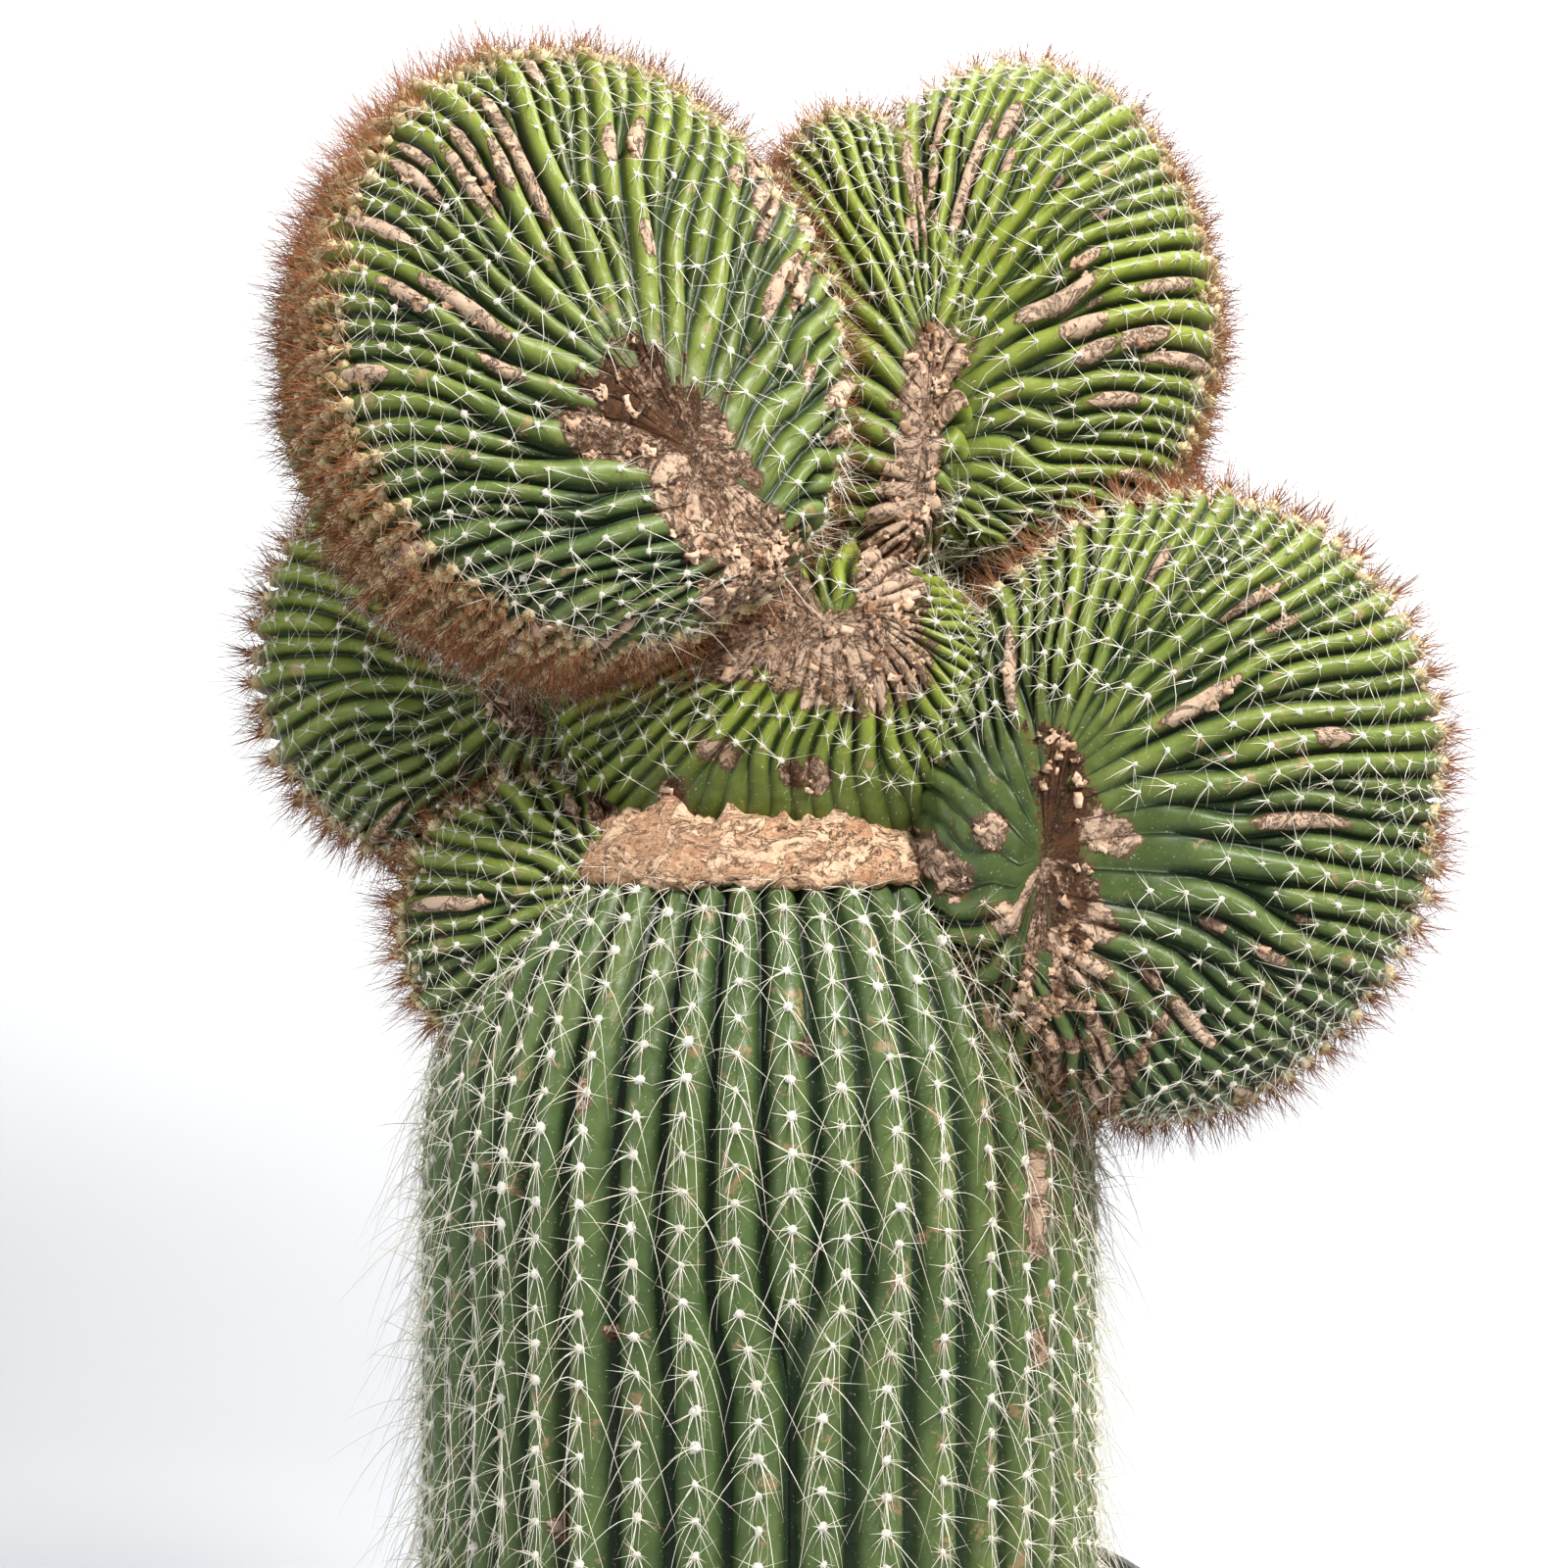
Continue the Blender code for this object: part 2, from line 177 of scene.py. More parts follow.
STEM_COATS = (
    Coat("stem_radials", 9, 20, 10, 0.0072, 0.28, 0.1, 0.90, (), 0.00019, 2, "white_spines"),
    Coat("stem_centrals", 2, 38, 12, 0.0140, 0.30, 0.5, 0.80, (0.12, 0.08), 0.00019, 4, "cream_bristles"),
    Coat("stem_bristles", 3, 36, 14, 0.0190, 0.30, 0.5, 0.85, (0.95, 0.20), 0.00018, 8, "cream_bristles"),
)
FACE_COATS = (
    Coat("crest_spines", 7, 34, 15, 0.0072, 0.38, -0.4, 0.80, (), 0.00013, 2, "white_spines"),
    Coat("crest_centrals", 3, 42, 14, 0.0118, 0.30, -0.9, 0.62, (0.08, 0.12), 0.00017, 3, "white_spines"),
)
EDGE_COATS = (
    Coat("edge_bristles_long", 3, 64, 17, 0.0158, 0.34, 0.0, 1.0, (), 0.00018, 2, "brown_bristles"),
    Coat("edge_bristles_brown", 4, 50, 17, 0.0088, 0.34, 0.0, 1.0, (), 0.00018, 2, "brown_bristles"),
    Coat("edge_bristles_golden", 4, 30, 17, 0.0062, 0.34, 0.0, 1.0, (), 0.00018, 2, "golden_bristles"),
)
DRY_COAT = Coat(
    "dry_spines", 7, 34, 16, 0.0150, 0.35, 0.2, 1.0, (0.30, 0.22), 0.00017, 3, "dry_brown_spines"
)

# Each kind's colour at its root and at its tip.
SPINE_COLOURS = {
    "white_spines": ((0.92, 0.89, 0.78), (0.66, 0.55, 0.40)),
    "cream_bristles": ((0.93, 0.90, 0.76), (0.76, 0.68, 0.50)),
    "brown_bristles": ((0.340, 0.120, 0.040), (0.115, 0.032, 0.010)),
    "golden_bristles": ((0.780, 0.580, 0.360), (0.420, 0.170, 0.060)),
    "dry_brown_spines": ((0.150, 0.055, 0.020), (0.420, 0.250, 0.130)),
}


@dataclass
class Stroke:
    """A run of cork on the front of the plant, from the crest's foot: right and up."""

    start: tuple
    end: tuple
    reach: float
    dark: float  # 0 is pale cork, 1 is dark torn cork


def strokes_of(*rows):
    return tuple(Stroke((x, z), (to_x, to_z), reach, dark) for x, z, to_x, to_z, reach, dark in rows)


STROKES = strokes_of(
    (-0.047, 0.143, -0.036, 0.139, 0.015, 0.90),
    (-0.062, 0.132, -0.044, 0.128, 0.008, 0.60),
    (-0.034, 0.128, -0.026, 0.112, 0.009, 0.50),
    (-0.028, 0.137, -0.015, 0.119, 0.009, 0.45),
    (-0.026, 0.112, -0.006, 0.092, 0.012, 0.35),
    (-0.006, 0.092, 0.012, 0.072, 0.011, 0.35),
    (-0.012, 0.072, 0.034, 0.064, 0.016, 0.35),
    (0.034, 0.076, 0.038, 0.060, 0.012, 0.30),
    (0.056, 0.170, 0.050, 0.152, 0.011, 0.30),
    (0.050, 0.152, 0.044, 0.120, 0.009, 0.10),
    (0.044, 0.120, 0.034, 0.088, 0.011, 0.05),
    (0.089, 0.036, 0.092, -0.002, 0.009, 0.95),
    (0.092, -0.002, 0.094, -0.026, 0.009, 0.75),
    (0.102, 0.006, 0.108, 0.004, 0.007, 0.10),
    (0.100, -0.022, 0.104, -0.024, 0.006, 0.10),
    (0.073, -0.023, 0.075, -0.024, 0.0060, BLISTERED),
    (0.096, -0.036, 0.101, -0.039, 0.0062, BLISTERED),
    (0.103, -0.062, 0.105, -0.066, 0.0050, BLISTERED),
    (0.092, -0.026, 0.081, -0.031, 0.0033, 0.45),
    (0.081, -0.031, 0.079, -0.050, 0.0030, 0.35),
    (0.079, -0.050, 0.086, -0.060, 0.0030, 0.40),
    (0.086, -0.060, 0.095, -0.090, 0.0029, 0.55),
    (0.092, -0.026, 0.090, -0.044, 0.0030, 0.50),
    (0.079, -0.050, 0.100, -0.049, 0.0029, 0.35),
    (0.100, -0.049, 0.103, -0.062, 0.0027, 0.45),
    (0.086, -0.062, 0.103, -0.063, 0.0025, 0.40),
    (0.103, -0.064, 0.112, -0.073, 0.0029, 0.50),
    (0.112, -0.073, 0.124, -0.054, 0.0025, 0.40),
    (0.095, -0.090, 0.113, -0.088, 0.0028, 0.65),
    (0.112, -0.073, 0.108, -0.086, 0.0026, 0.50),
    (0.118, -0.038, 0.121, -0.042, 0.0024, 0.30),
    (0.068, 0.004, 0.070, 0.008, 0.006, 0.20),
    (0.056, -0.010, 0.058, -0.006, 0.005, 0.20),
    (0.046, 0.000, 0.054, -0.004, 0.007, 0.10),
    (-0.096, 0.050, -0.088, 0.044, 0.008, 0.70),
    (-0.024, 0.034, -0.018, 0.032, 0.006, 0.20),
    (0.004, 0.026, 0.005, 0.024, 0.004, 0.70),
    (0.011, 0.027, 0.013, 0.022, 0.004, 0.30),
    (-0.036, 0.020, -0.033, 0.010, 0.006, 0.70),
    (-0.062, 0.014, -0.058, 0.006, 0.005, 0.60),
)

STEM_STROKES = strokes_of(
    (0.0080, -0.0610, 0.0081, -0.0614, 0.0042, 0.60),
    (0.0805, -0.1020, 0.0815, -0.1320, 0.0050, 0.15),
    (0.0815, -0.1600, 0.0818, -0.1680, 0.0038, 0.30),
    (-0.0520, -0.1490, -0.0518, -0.1492, 0.0030, 0.50),
    (-0.0620, -0.0760, -0.0610, -0.0780, 0.0040, 0.20),
    (-0.0680, -0.2100, -0.0675, -0.2160, 0.0034, 0.20),
)

# Runs on the front where the flesh is stretched smooth, so its ribs are low.
SMOOTH_RUNS = strokes_of(
    (-0.034, 0.010, 0.030, 0.010, 0.030, 0.0),
    (0.040, 0.002, 0.112, 0.002, 0.030, 0.0),
    (0.072, 0.020, 0.096, 0.034, 0.022, 0.0),
)


# ---- arithmetic on fields
def eased(value):
    """0 below 0, 1 above 1, and a smooth rise between."""
    value = np.clip(value, 0.0, 1.0)
    return value * value * (3.0 - 2.0 * value)


def scattered(ix, iy, iz, salt):
    """A fixed number between -1 and 1 for every corner of a lattice."""
    mixed = ix * 73856093 ^ iy * 19349663 ^ iz * 83492791 ^ (salt * 2654435761)
    mixed = (mixed ^ (mixed >> 13)) & 0x7FFFFFFF
    mixed = (mixed * 1274126177) & 0x7FFFFFFF
    mixed = (mixed ^ (mixed >> 16)) & 0xFFFFF
    return mixed / float(0x7FFFF) - 1.0


def uneven(points, size, salt):
    """Smooth noise between -1 and 1 at the given points, with hills of about this size."""
    scaled = points / size + 1000.0
    cell = np.floor(scaled).astype(np.int64)
    part = scaled - cell
    part = part * part * (3.0 - 2.0 * part)
    total = 0.0
    for corner in range(8):
        step = np.array([corner & 1, (corner >> 1) & 1, (corner >> 2) & 1])
        weight = np.prod(np.where(step == 1, part, 1.0 - part), axis=-1)
        at = cell + step
        total = total + weight * scattered(at[..., 0], at[..., 1], at[..., 2], salt)
    return total


def rough_field(points, size, salt):
    return (
        uneven(points, size, salt)
        + 0.5 * uneven(points, size / 2.1, salt + 1)
        + 0.25 * uneven(points, size / 4.3, salt + 2)
    ) / 1.75


def unit(vectors):
    return vectors / np.maximum(np.linalg.norm(vectors, axis=-1, keepdims=True), 1e-12)


# ---- meshes and node trees
def loft_object(name, rings, first_pole, last_pole, fields):
    """A closed skin through rings of points, from one pole to the other, with a value per point."""
    count, around = rings.shape[:2]
    points = np.concatenate([rings.reshape(-1, 3), [first_pole, last_pole]])
    index = np.arange(count * around).reshape(count, around)
    ahead = np.roll(index, -1, axis=1)
    quads = np.stack([index[:-1], ahead[:-1], ahead[1:], index[1:]], axis=-1).reshape(-1, 4)
    top = np.stack([np.full(around, count * around), ahead[0], index[0]], axis=-1)
    foot = np.stack([np.full(around, count * around + 1), index[-1], ahead[-1]], axis=-1)
    corner = points[quads] - points.mean(axis=0)
    volume = np.einsum("ij,ij->i", np.cross(corner[:, 0], corner[:, 1]), corner[:, 2]).sum()
    if volume < 0:
        quads, top, foot = quads[:, ::-1], top[:, ::-1], foot[:, ::-1]
    mesh = bpy.data.meshes.new(name)
    mesh.from_pydata(points.tolist(), [], quads.tolist() + top.tolist() + foot.tolist())
    for field, values in fields.items():
        flat = np.asarray(values, dtype=np.float32).reshape(-1)
        ends = [flat[:around].mean(), flat[-around:].mean()]
        store_field(mesh, field, np.concatenate([flat, ends]))
    mesh.shade_smooth()
    return link_object(name, mesh)


def store_field(mesh, name, values):
    """A number or a vector for every point."""
    kind, slot = ("FLOAT_VECTOR", "vector") if np.ndim(values) == 2 else ("FLOAT", "value")
    field = mesh.attributes.new(name, kind, "POINT")
    field.data.foreach_set(slot, np.asarray(values, dtype=np.float32).reshape(-1))


def link_object(name, mesh):
    made = bpy.data.objects.new(name, mesh)
    bpy.context.scene.collection.objects.link(made)
    return made


def finish_piece(piece, material):
    piece.data.materials.clear()
    piece.data.materials.append(material)
    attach(piece, "root")
    return piece


def arithmetic(operation, reflected=False):
    """A method of Wire that adds one Math node."""

    def method(self, other):
        first, second = (other, self) if reflected else (self, other)
        return self.bench.add("ShaderNodeMath", {0: first, 1: second}, operation=operation)

    return method


class Wire:
    """One value in a node tree. Arithmetic on it adds the nodes that work it out."""

    __add__, __radd__ = arithmetic("ADD"), arithmetic("ADD", True)
    __sub__, __rsub__ = arithmetic("SUBTRACT"), arithmetic("SUBTRACT", True)
    __mul__, __rmul__ = arithmetic("MULTIPLY"), arithmetic("MULTIPLY", True)
    __truediv__, __rtruediv__ = arithmetic("DIVIDE"), arithmetic("DIVIDE", True)
    most = arithmetic("MAXIMUM")

    def __init__(self, bench, socket):
        self.bench = bench
        self.socket = socket

    def size(self):
        """How far it is from 0."""
        return self.bench.add("ShaderNodeMath", {0: self}, operation="ABSOLUTE")

    def between(self, low, high):
        """0 at low and below, 1 at high and above, smooth between."""
        inputs = {"Value": self, "From Min": low, "From Max": high, "To Min": 0.0, "To Max": 1.0}
        return self.bench.add("ShaderNodeMapRange", inputs, interpolation_type="SMOOTHSTEP")


class Bench:
    """Adds nodes to one tree."""

    def __init__(self, tree):
        self.tree = tree

    def add(self, kind, inputs=None, out=0, **settings):
        """A node of this kind, set up, then wired. Gives back its output of that name or number."""
        node = self.tree.nodes.new(kind)
        for name, value in settings.items():
            setattr(node, name, value)
        for name, value in (inputs or {}).items():
            if isinstance(value, Wire):
                self.tree.links.new(value.socket, node.inputs[name])
            else:
                node.inputs[name].default_value = value
        return Wire(self, node.outputs[out])

    def blend(self, share, first, second, kind="MIX"):
        """From the first colour to the second by this share."""
        first, second = [c if isinstance(c, Wire) else (*c, 1.0) for c in (first, second)]
        inputs = {0: share, 6: first, 7: second}
        return self.add("ShaderNodeMix", inputs, 2, data_type="RGBA", blend_type=kind)


class Finish(Bench):
    """A material with one Principled shader."""

    def __init__(self, name, roughness, specular=0.5):
        self.material = bpy.data.materials.new(name)
        self.material.use_nodes = True
        super().__init__(self.material.node_tree)
        self.shader = self.tree.nodes["Principled BSDF"]
        self.shader.inputs["Roughness"].default_value = roughness
        self.shader.inputs["Specular IOR Level"].default_value = specular
        self.place = self.add("ShaderNodeTexCoord", out="Object")

    def field(self, name):
        return self.add("ShaderNodeAttribute", out="Fac", attribute_name=name)

    def stretched(self, by):
        return self.add("ShaderNodeVectorMath", {0: self.place, 1: by}, operation="MULTIPLY")

    def noise(self, scale, detail, rough=0.5, warp=0.0, where=None):
        inputs = {"Vector": where or self.place, "Scale": scale, "Detail": detail}
        inputs.update({"Roughness": rough, "Distortion": warp})
        return self.add("ShaderNodeTexNoise", inputs, "Fac")

    def feed(self, name, value):
        self.tree.links.new(value.socket, self.shader.inputs[name])

    def raise_by(self, height, distance, strength=1.0):
        inputs = {"Height": height, "Distance": distance, "Strength": strength}
        self.feed("Normal", self.add("ShaderNodeBump", inputs))


# ---- materials
# Flesh greens with painted light in them: the shaded pair is painted shade, the sunlit pair painted
# sunlight, and each furrow green is darker than its crest green as painted shade in the furrows.
FURROW_IN_PAINTED_SHADE = (0.010, 0.026, 0.009)
CREST_IN_PAINTED_SHADE = (0.080, 0.128, 0.040)
FURROW_IN_PAINTED_SUN = (0.018, 0.036, 0.003)
CREST_IN_PAINTED_SUN = (0.235, 0.290, 0.034)
CORK_PALE = (0.700, 0.500, 0.360)
CORK_MIDDLE = (0.410, 0.240, 0.140)
CORK_DARK = (0.095, 0.040, 0.016)
CORK_RUSSET = (0.230, 0.095, 0.040)
# Dark brown rim beside the cork: partly the cork's own dark edge, partly painted shadow under its raised
# edge.
CORK_EDGE_AND_SHADOW = (0.130, 0.060, 0.022)
# Pale waxy bloom, which also serves as a painted highlight on the rib crests.
BLOOM_AND_HIGHLIGHT = (0.250, 0.290, 0.190)
RUST = (0.120, 0.055, 0.018)


def bark_colour(f, dark, ridge):
    """Torn cork: pale plates, browner between, nearly black in its creases, and darkened nearly to black in
    the furrows as painted shade.
    """
    swirl = f.noise(92.0, 9.0, 0.74, 1.0)
    fine = f.noise(520.0, 5.0, 0.7, 0.4)
    fresh = (0.24 - dark).between(0.0, 0.24) * 0.30
    tone = (swirl * 1.5 - 0.25 + (fine - 0.5) * 0.9 + fresh).between(0.22, 0.72)
    bark = f.blend(tone, CORK_MIDDLE, CORK_PALE)
    crease = 1.0 - (swirl - 0.5).size().between(0.0, 0.026)
    deep = (dark * 1.1 + (0.5 - fine) * 1.6 + (0.5 - swirl) * 1.5).between(0.30, 0.90)
    bark = f.blend(deep, bark, CORK_DARK)
    # Painted shade: where the ridge field is low, in the furrows, the cork is darkened nearly to black.
    gap = (0.74 - ridge + (0.5 - fine) * 0.6).between(0.0, 0.42) * 0.92
    bark = f.blend(gap, bark, CORK_DARK)
    return f.blend(crease * 0.8, bark, CORK_DARK), swirl, fine, crease


def flesh_finish(name):
    """Waxy ribbed flesh with cork over it. Its green holds painted light: yellower and lighter on the ribs
    than in the painted shade of its furrows, and yellower again under painted sunlight.
    """
    f = Finish(name, 0.50, 0.32)
    ridge, painted_sun = f.field("ridge"), f.field("sunlit")
    cork, dark, edge = f.field("cork"), f.field("cork_dark"), f.field("edge")
    broad = f.noise(26.0, 3.0, 0.55)
    small = f.noise(240.0, 5.0, 0.65)
    specks = f.noise(1100.0, 1.0, 0.5).between(0.70, 0.76)
    # Painted light: the share of painted sunlight, rather than painted shade, in the flesh's colour here,
    # with some random unevenness.
    painted_sun_mix = (painted_sun + (broad - 0.5) * 1.1).between(-0.1, 1.1)
    furrow = f.blend(painted_sun_mix, FURROW_IN_PAINTED_SHADE, FURROW_IN_PAINTED_SUN)
    crest = f.blend(painted_sun_mix, CREST_IN_PAINTED_SHADE, CREST_IN_PAINTED_SUN)
    # Painted shade in the furrows: low ground between the ribs takes the dark furrow green, the crests the
    # lighter one.
    height = (ridge + (small - 0.5) * 0.30).between(0.30, 1.10)
    green = f.blend(height, furrow, crest)
    # Pale bloom on the rib crests: partly the flesh's own waxy bloom, partly a painted highlight along the
    # crests.
    bloom_and_highlight = ((broad - 0.45) * 2.0 + (small - 0.5) * 1.2).between(0.0, 1.0) * ridge * 0.24
    green = f.blend(bloom_and_highlight, green, BLOOM_AND_HIGHLIGHT)
    green = f.blend(specks * 0.45, green, (0.62, 0.64, 0.52))
    scuffs = (f.noise(85.0, 6.0, 0.72, 0.4) + ridge * 0.09).between(0.67, 0.73) * 0.6
    green = f.blend(scuffs, green, CORK_MIDDLE)
    rusty = (edge * 1.1 + (small - 0.5) * 1.1).between(0.25, 1.2) * 0.4
    green = f.blend(rusty, green, RUST)
    bark, swirl, fine, crease = bark_colour(f, dark, ridge)
    ragged = cork + (swirl - 0.5) * 1.1 + (fine - 0.5) * 0.5
    mask = ragged.between(0.47, 0.53)
    # A dark brown rim on the green just outside the cork: partly the cork's own dark edge, partly painted
    # shadow under its raised edge.
    outline_and_shadow = ragged.between(0.37, 0.47) * 0.8
    green = f.blend(outline_and_shadow, green, CORK_EDGE_AND_SHADOW)
    f.feed("Base Color", f.blend(mask, green, bark))
    f.feed("Roughness", 0.42 + mask * 0.48 + (small - 0.5) * 0.25)
    relief = mask * (0.5 + swirl * 1.2 + fine * 0.5 - crease * 0.5) + (1.0 - mask) * small * 0.14
    f.raise_by(relief, 0.0017, 1.0)
    return f.material


def collar_finish():
    """Thick pale cork, wrinkled and cracked: russet lines in its cracks, and painted shade darkening its
    dented hollows.
    """
    f = Finish("cork_of_collar", 0.92, 0.2)
    painted_hollow_shade = f.field("painted_hollow_shade")
    stretched = f.stretched((1.0, 1.0, 1.7))
    swirl = f.noise(70.0, 9.0, 0.70, 0.8, stretched)
    fine = f.noise(420.0, 5.0, 0.7, 0.3, stretched)
    crease = 1.0 - (swirl - 0.5).size().between(0.0, 0.018)
    hair = 1.0 - (f.noise(150.0, 5.0, 0.6, 0.6, stretched) - 0.52).size().between(0.0, 0.016)
    tone = (swirl * 1.7 - 0.35 + (fine - 0.5) * 0.8).between(0.20, 0.78)
    colour = f.blend(tone, (0.440, 0.225, 0.120), (0.860, 0.610, 0.415))
    # Painted shade in the collar's dented hollows: it darkens them towards mid cork.
    colour = f.blend((painted_hollow_shade + (fine - 0.5) * 0.5).between(0.35, 1.1) * 0.55, colour, CORK_MIDDLE)
    colour = f.blend((crease * 0.9).most(hair * 0.6), colour, CORK_RUSSET)
    f.feed("Base Color", colour)
    f.raise_by(swirl * 1.2 + fine * 0.4 - crease * 0.4 - hair * 0.2, 0.0019, 1.0)
    return f.material


def flake_finish():
    """Loose cork flakes, tan to brown from one to the next."""
    f = Finish("loose_cork_flakes", 0.90, 0.2)
    shade = f.noise(170.0, 2.0, 0.5)
    fine = f.noise(900.0, 4.0, 0.7)
    colour = f.blend((shade + (fine - 0.5) * 0.3).between(0.36, 0.62), CORK_MIDDLE, CORK_PALE)
    colour = f.blend((0.44 - shade).between(0.0, 0.12) * 0.8, colour, CORK_DARK)
    f.feed("Base Color", colour)
    f.raise_by(fine, 0.0004, 0.8)
    return f.material


def spine_finish(name, root, tip, roughness=0.5):
    """Horny spine, darker or paler towards its tip, and a little different from one to the next."""
    f = Finish(name, roughness, 0.45)
    lots = f.noise(150.0, 1.0, 0.5)
    grain = f.noise(1800.0, 2.0, 0.6)
    share = (f.field("tip") + (lots - 0.5) * 0.9).between(0.35, 1.05)
    colour = f.blend(share, root, tip)
    colour = f.blend((lots.between(0.50, 0.72) + (grain - 0.5) * 0.4) * 0.35, colour, tip)
    f.feed("Base Color", colour)
    f.feed("Roughness", roughness + (grain - 0.5) * 0.2)
    return f.material


def felt_finish(name, pale, shaded):
    """Short matted wool."""
    f = Finish(name, 0.95, 0.1)
    tufts = f.noise(900.0, 4.0, 0.7, 0.6)
    lots = f.noise(120.0, 1.0, 0.5)
    f.feed("Base Color", f.blend((tufts * 0.7 + lots * 0.6).between(0.45, 0.85), shaded, pale))
    f.raise_by(tufts, 0.0004, 0.9)
    return f.material


def grit_finish():
    """Pumice, crushed stone and bark crumbs, each its own shade."""
    f = Finish("mixed_grit", 0.9, 0.25)
    lots = f.noise(230.0, 2.0, 0.5)
    grain = f.noise(1400.0, 3.0, 0.6)
    stone = f.blend(lots.between(0.40, 0.62), (0.055, 0.033, 0.020), (0.42, 0.37, 0.30))
    f.feed("Base Color", f.blend(grain.between(0.35, 0.75) * 0.4, stone, (0.16, 0.13, 0.10)))
    f.raise_by(grain, 0.0003, 0.8)
    return f.material


def pot_finish():
    """Black moulded plastic, satin, with a little dust and dried lime near the rim."""
    f = Finish("black_moulded_plastic", 0.42, 0.5)
    level = f.add("ShaderNodeSeparateXYZ", {0: f.place}, "Z") / pot_high.z
    tall = f.stretched((1.0, 1.0, 0.16))
    dust = f.noise(70.0, 7.0, 0.72, 0.3) * 0.6 + f.noise(190.0, 4.0, 0.6, 0.0, tall) * 0.4
    grain = f.noise(900.0, 2.0, 0.5)
    settled = level.between(0.70, 1.0) * 0.12 + (0.10 - level).between(0.0, 0.10) * 0.12
    share = (dust + settled).between(0.50, 0.82) * 0.42
    f.feed("Base Color", f.blend(share, (0.013, 0.013, 0.014), (0.120, 0.108, 0.092)))
    f.feed("Roughness", 0.36 + share * 0.8 + (grain - 0.5) * 0.1)
    f.raise_by(grain, 0.0003, 0.35)
    return f.material


def mix_finish():
    """Dark damp potting mix under its grit."""
    f = Finish("damp_potting_mix", 0.95, 0.15)
    lumps = f.noise(160.0, 6.0, 0.7)
    bits = f.add("ShaderNodeTexVoronoi", {"Scale": 260.0, "Vector": f.place}, "Color")
    tone = f.blend(lumps.between(0.3, 0.7), (0.022, 0.014, 0.009), (0.115, 0.075, 0.045))
    f.feed("Base Color", f.blend(0.18, tone, bits, "MULTIPLY"))
    f.raise_by(lumps, 0.004, 1.0)
    return f.material


# ---- shapes of the plant
def fan_matrix(fan):
    stand = Matrix(((1, 0, 0), (0, 0, -1), (0, 1, 0))).to_4x4()
    yaw = Matrix.Rotation(math.radians(fan.yaw), 4, "Z")
    nod = Matrix.Rotation(math.radians(-fan.nod), 4, "X")
    lean = Matrix.Rotation(math.radians(-fan.lean), 4, "Z")
    place = Matrix.Translation(CREST_FOOT + Vector(fan.middle))
    return np.array(place @ yaw @ nod @ stand @ lean)


def fan_surface(fan, turn, fall):
    """Points of the smooth fan: turn goes round the face, fall runs from its front to its back."""
    spread = np.sin(np.pi * fall) ** fan.fullness
    level = np.cos(np.pi * fall)
    turn = turn - fan.droop * np.cos(turn) * spread**2
    depth = np.abs(level) ** fan.fullness * np.where(level > 0, fan.front, -fan.back)
    run = np.array([fan.half_wide * fan.scar_run[0], fan.half_tall * fan.scar_run[1]])
    swing = np.where(level > 0, np.cos(turn - math.atan2(run[1], run[0])), 0.0)
    start_x = np.where(level > 0, fan.half_wide * fan.scar[0], 0.0) + run[0] * swing
    start_y = np.where(level > 0, fan.half_tall * fan.scar[1], 0.0) + run[1] * swing
    x = start_x + (fan.half_wide * np.cos(turn) - start_x) * spread
    y = start_y + (fan.half_tall * np.sin(turn) - start_y) * spread
    local = np.stack([x, y, depth + 0.0 * x], axis=-1)
    matrix = fan_matrix(fan)
    return local @ matrix[:3, :3].T + matrix[:3, 3]


def stem_surface(turn, fall):
    """Points of the smooth stem: fall runs from the top of the dome down the side to the foot."""
    side = STEM_SHOULDER_HEIGHT - plant_low.z
    dome = math.pi / 2 * math.sqrt((STEM_RADIUS**2 + STEM_DOME_RISE**2) / 2)
    length = fall * (side + dome)
    rise = np.clip(1.0 - length / dome, 0.0, 1.0) * math.pi / 2
    below = np.clip(length - dome, 0.0, side)
    radius = STEM_RADIUS * np.cos(rise)
    height = STEM_SHOULDER_HEIGHT + STEM_DOME_RISE * np.sin(rise) - below
    return np.stack(
        [radius * np.cos(turn) + STEM_OFFSET, radius * np.sin(turn), height + 0.0 * turn], axis=-1
    )


def even_falls(surface, rows, first, last):
    """Rows that stand evenly along the surface, from its first pole towards the last."""
    fine = np.linspace(first, last, 600)
    lengths = np.zeros(len(fine) - 1)
    for turn in np.linspace(0, 2 * math.pi, 9)[:-1]:
        line = surface(np.full(len(fine), turn), fine)
        lengths = lengths + np.linalg.norm(np.diff(line, axis=0), axis=1)
    along = np.concatenate([[0.0], np.cumsum(lengths)])
    return np.interp(np.linspace(0, along[-1], rows), along, fine)


@dataclass
class RibPlan:
    """How the ribs of one body share the way round it, row by row."""

    edges: np.ndarray  # where each rib starts
    widths: np.ndarray
    grown: np.ndarray  # 0 before a rib has opened, 1 at full size
    tall: np.ndarray  # how high each rib stands beside its neighbours

    @property
    def count(self):
        return self.edges.shape[1]


def plan_of(grown, rng, spread, room_taken=1.0):
    count = grown.shape[1]
    own = np.exp(rng.normal(0.0, spread, count))
    widths = (0.015 + 0.985 * grown) * own[None, :] * room_taken
    widths = widths / widths.sum(axis=1, keepdims=True)
    tall = np.clip(0.25 + 0.75 * own + rng.normal(0.0, 0.08, count), 0.55, 1.25)
    return RibPlan(np.cumsum(widths, axis=1) - widths, widths, grown, tall)


def halves(index):
    """The index-th term of a run that fills 0 to 1 evenly, however long it is."""
    value, share = 0.0, 0.5
    while index:
        value += share * (index & 1)
        index >>= 1
        share /= 2
    return value


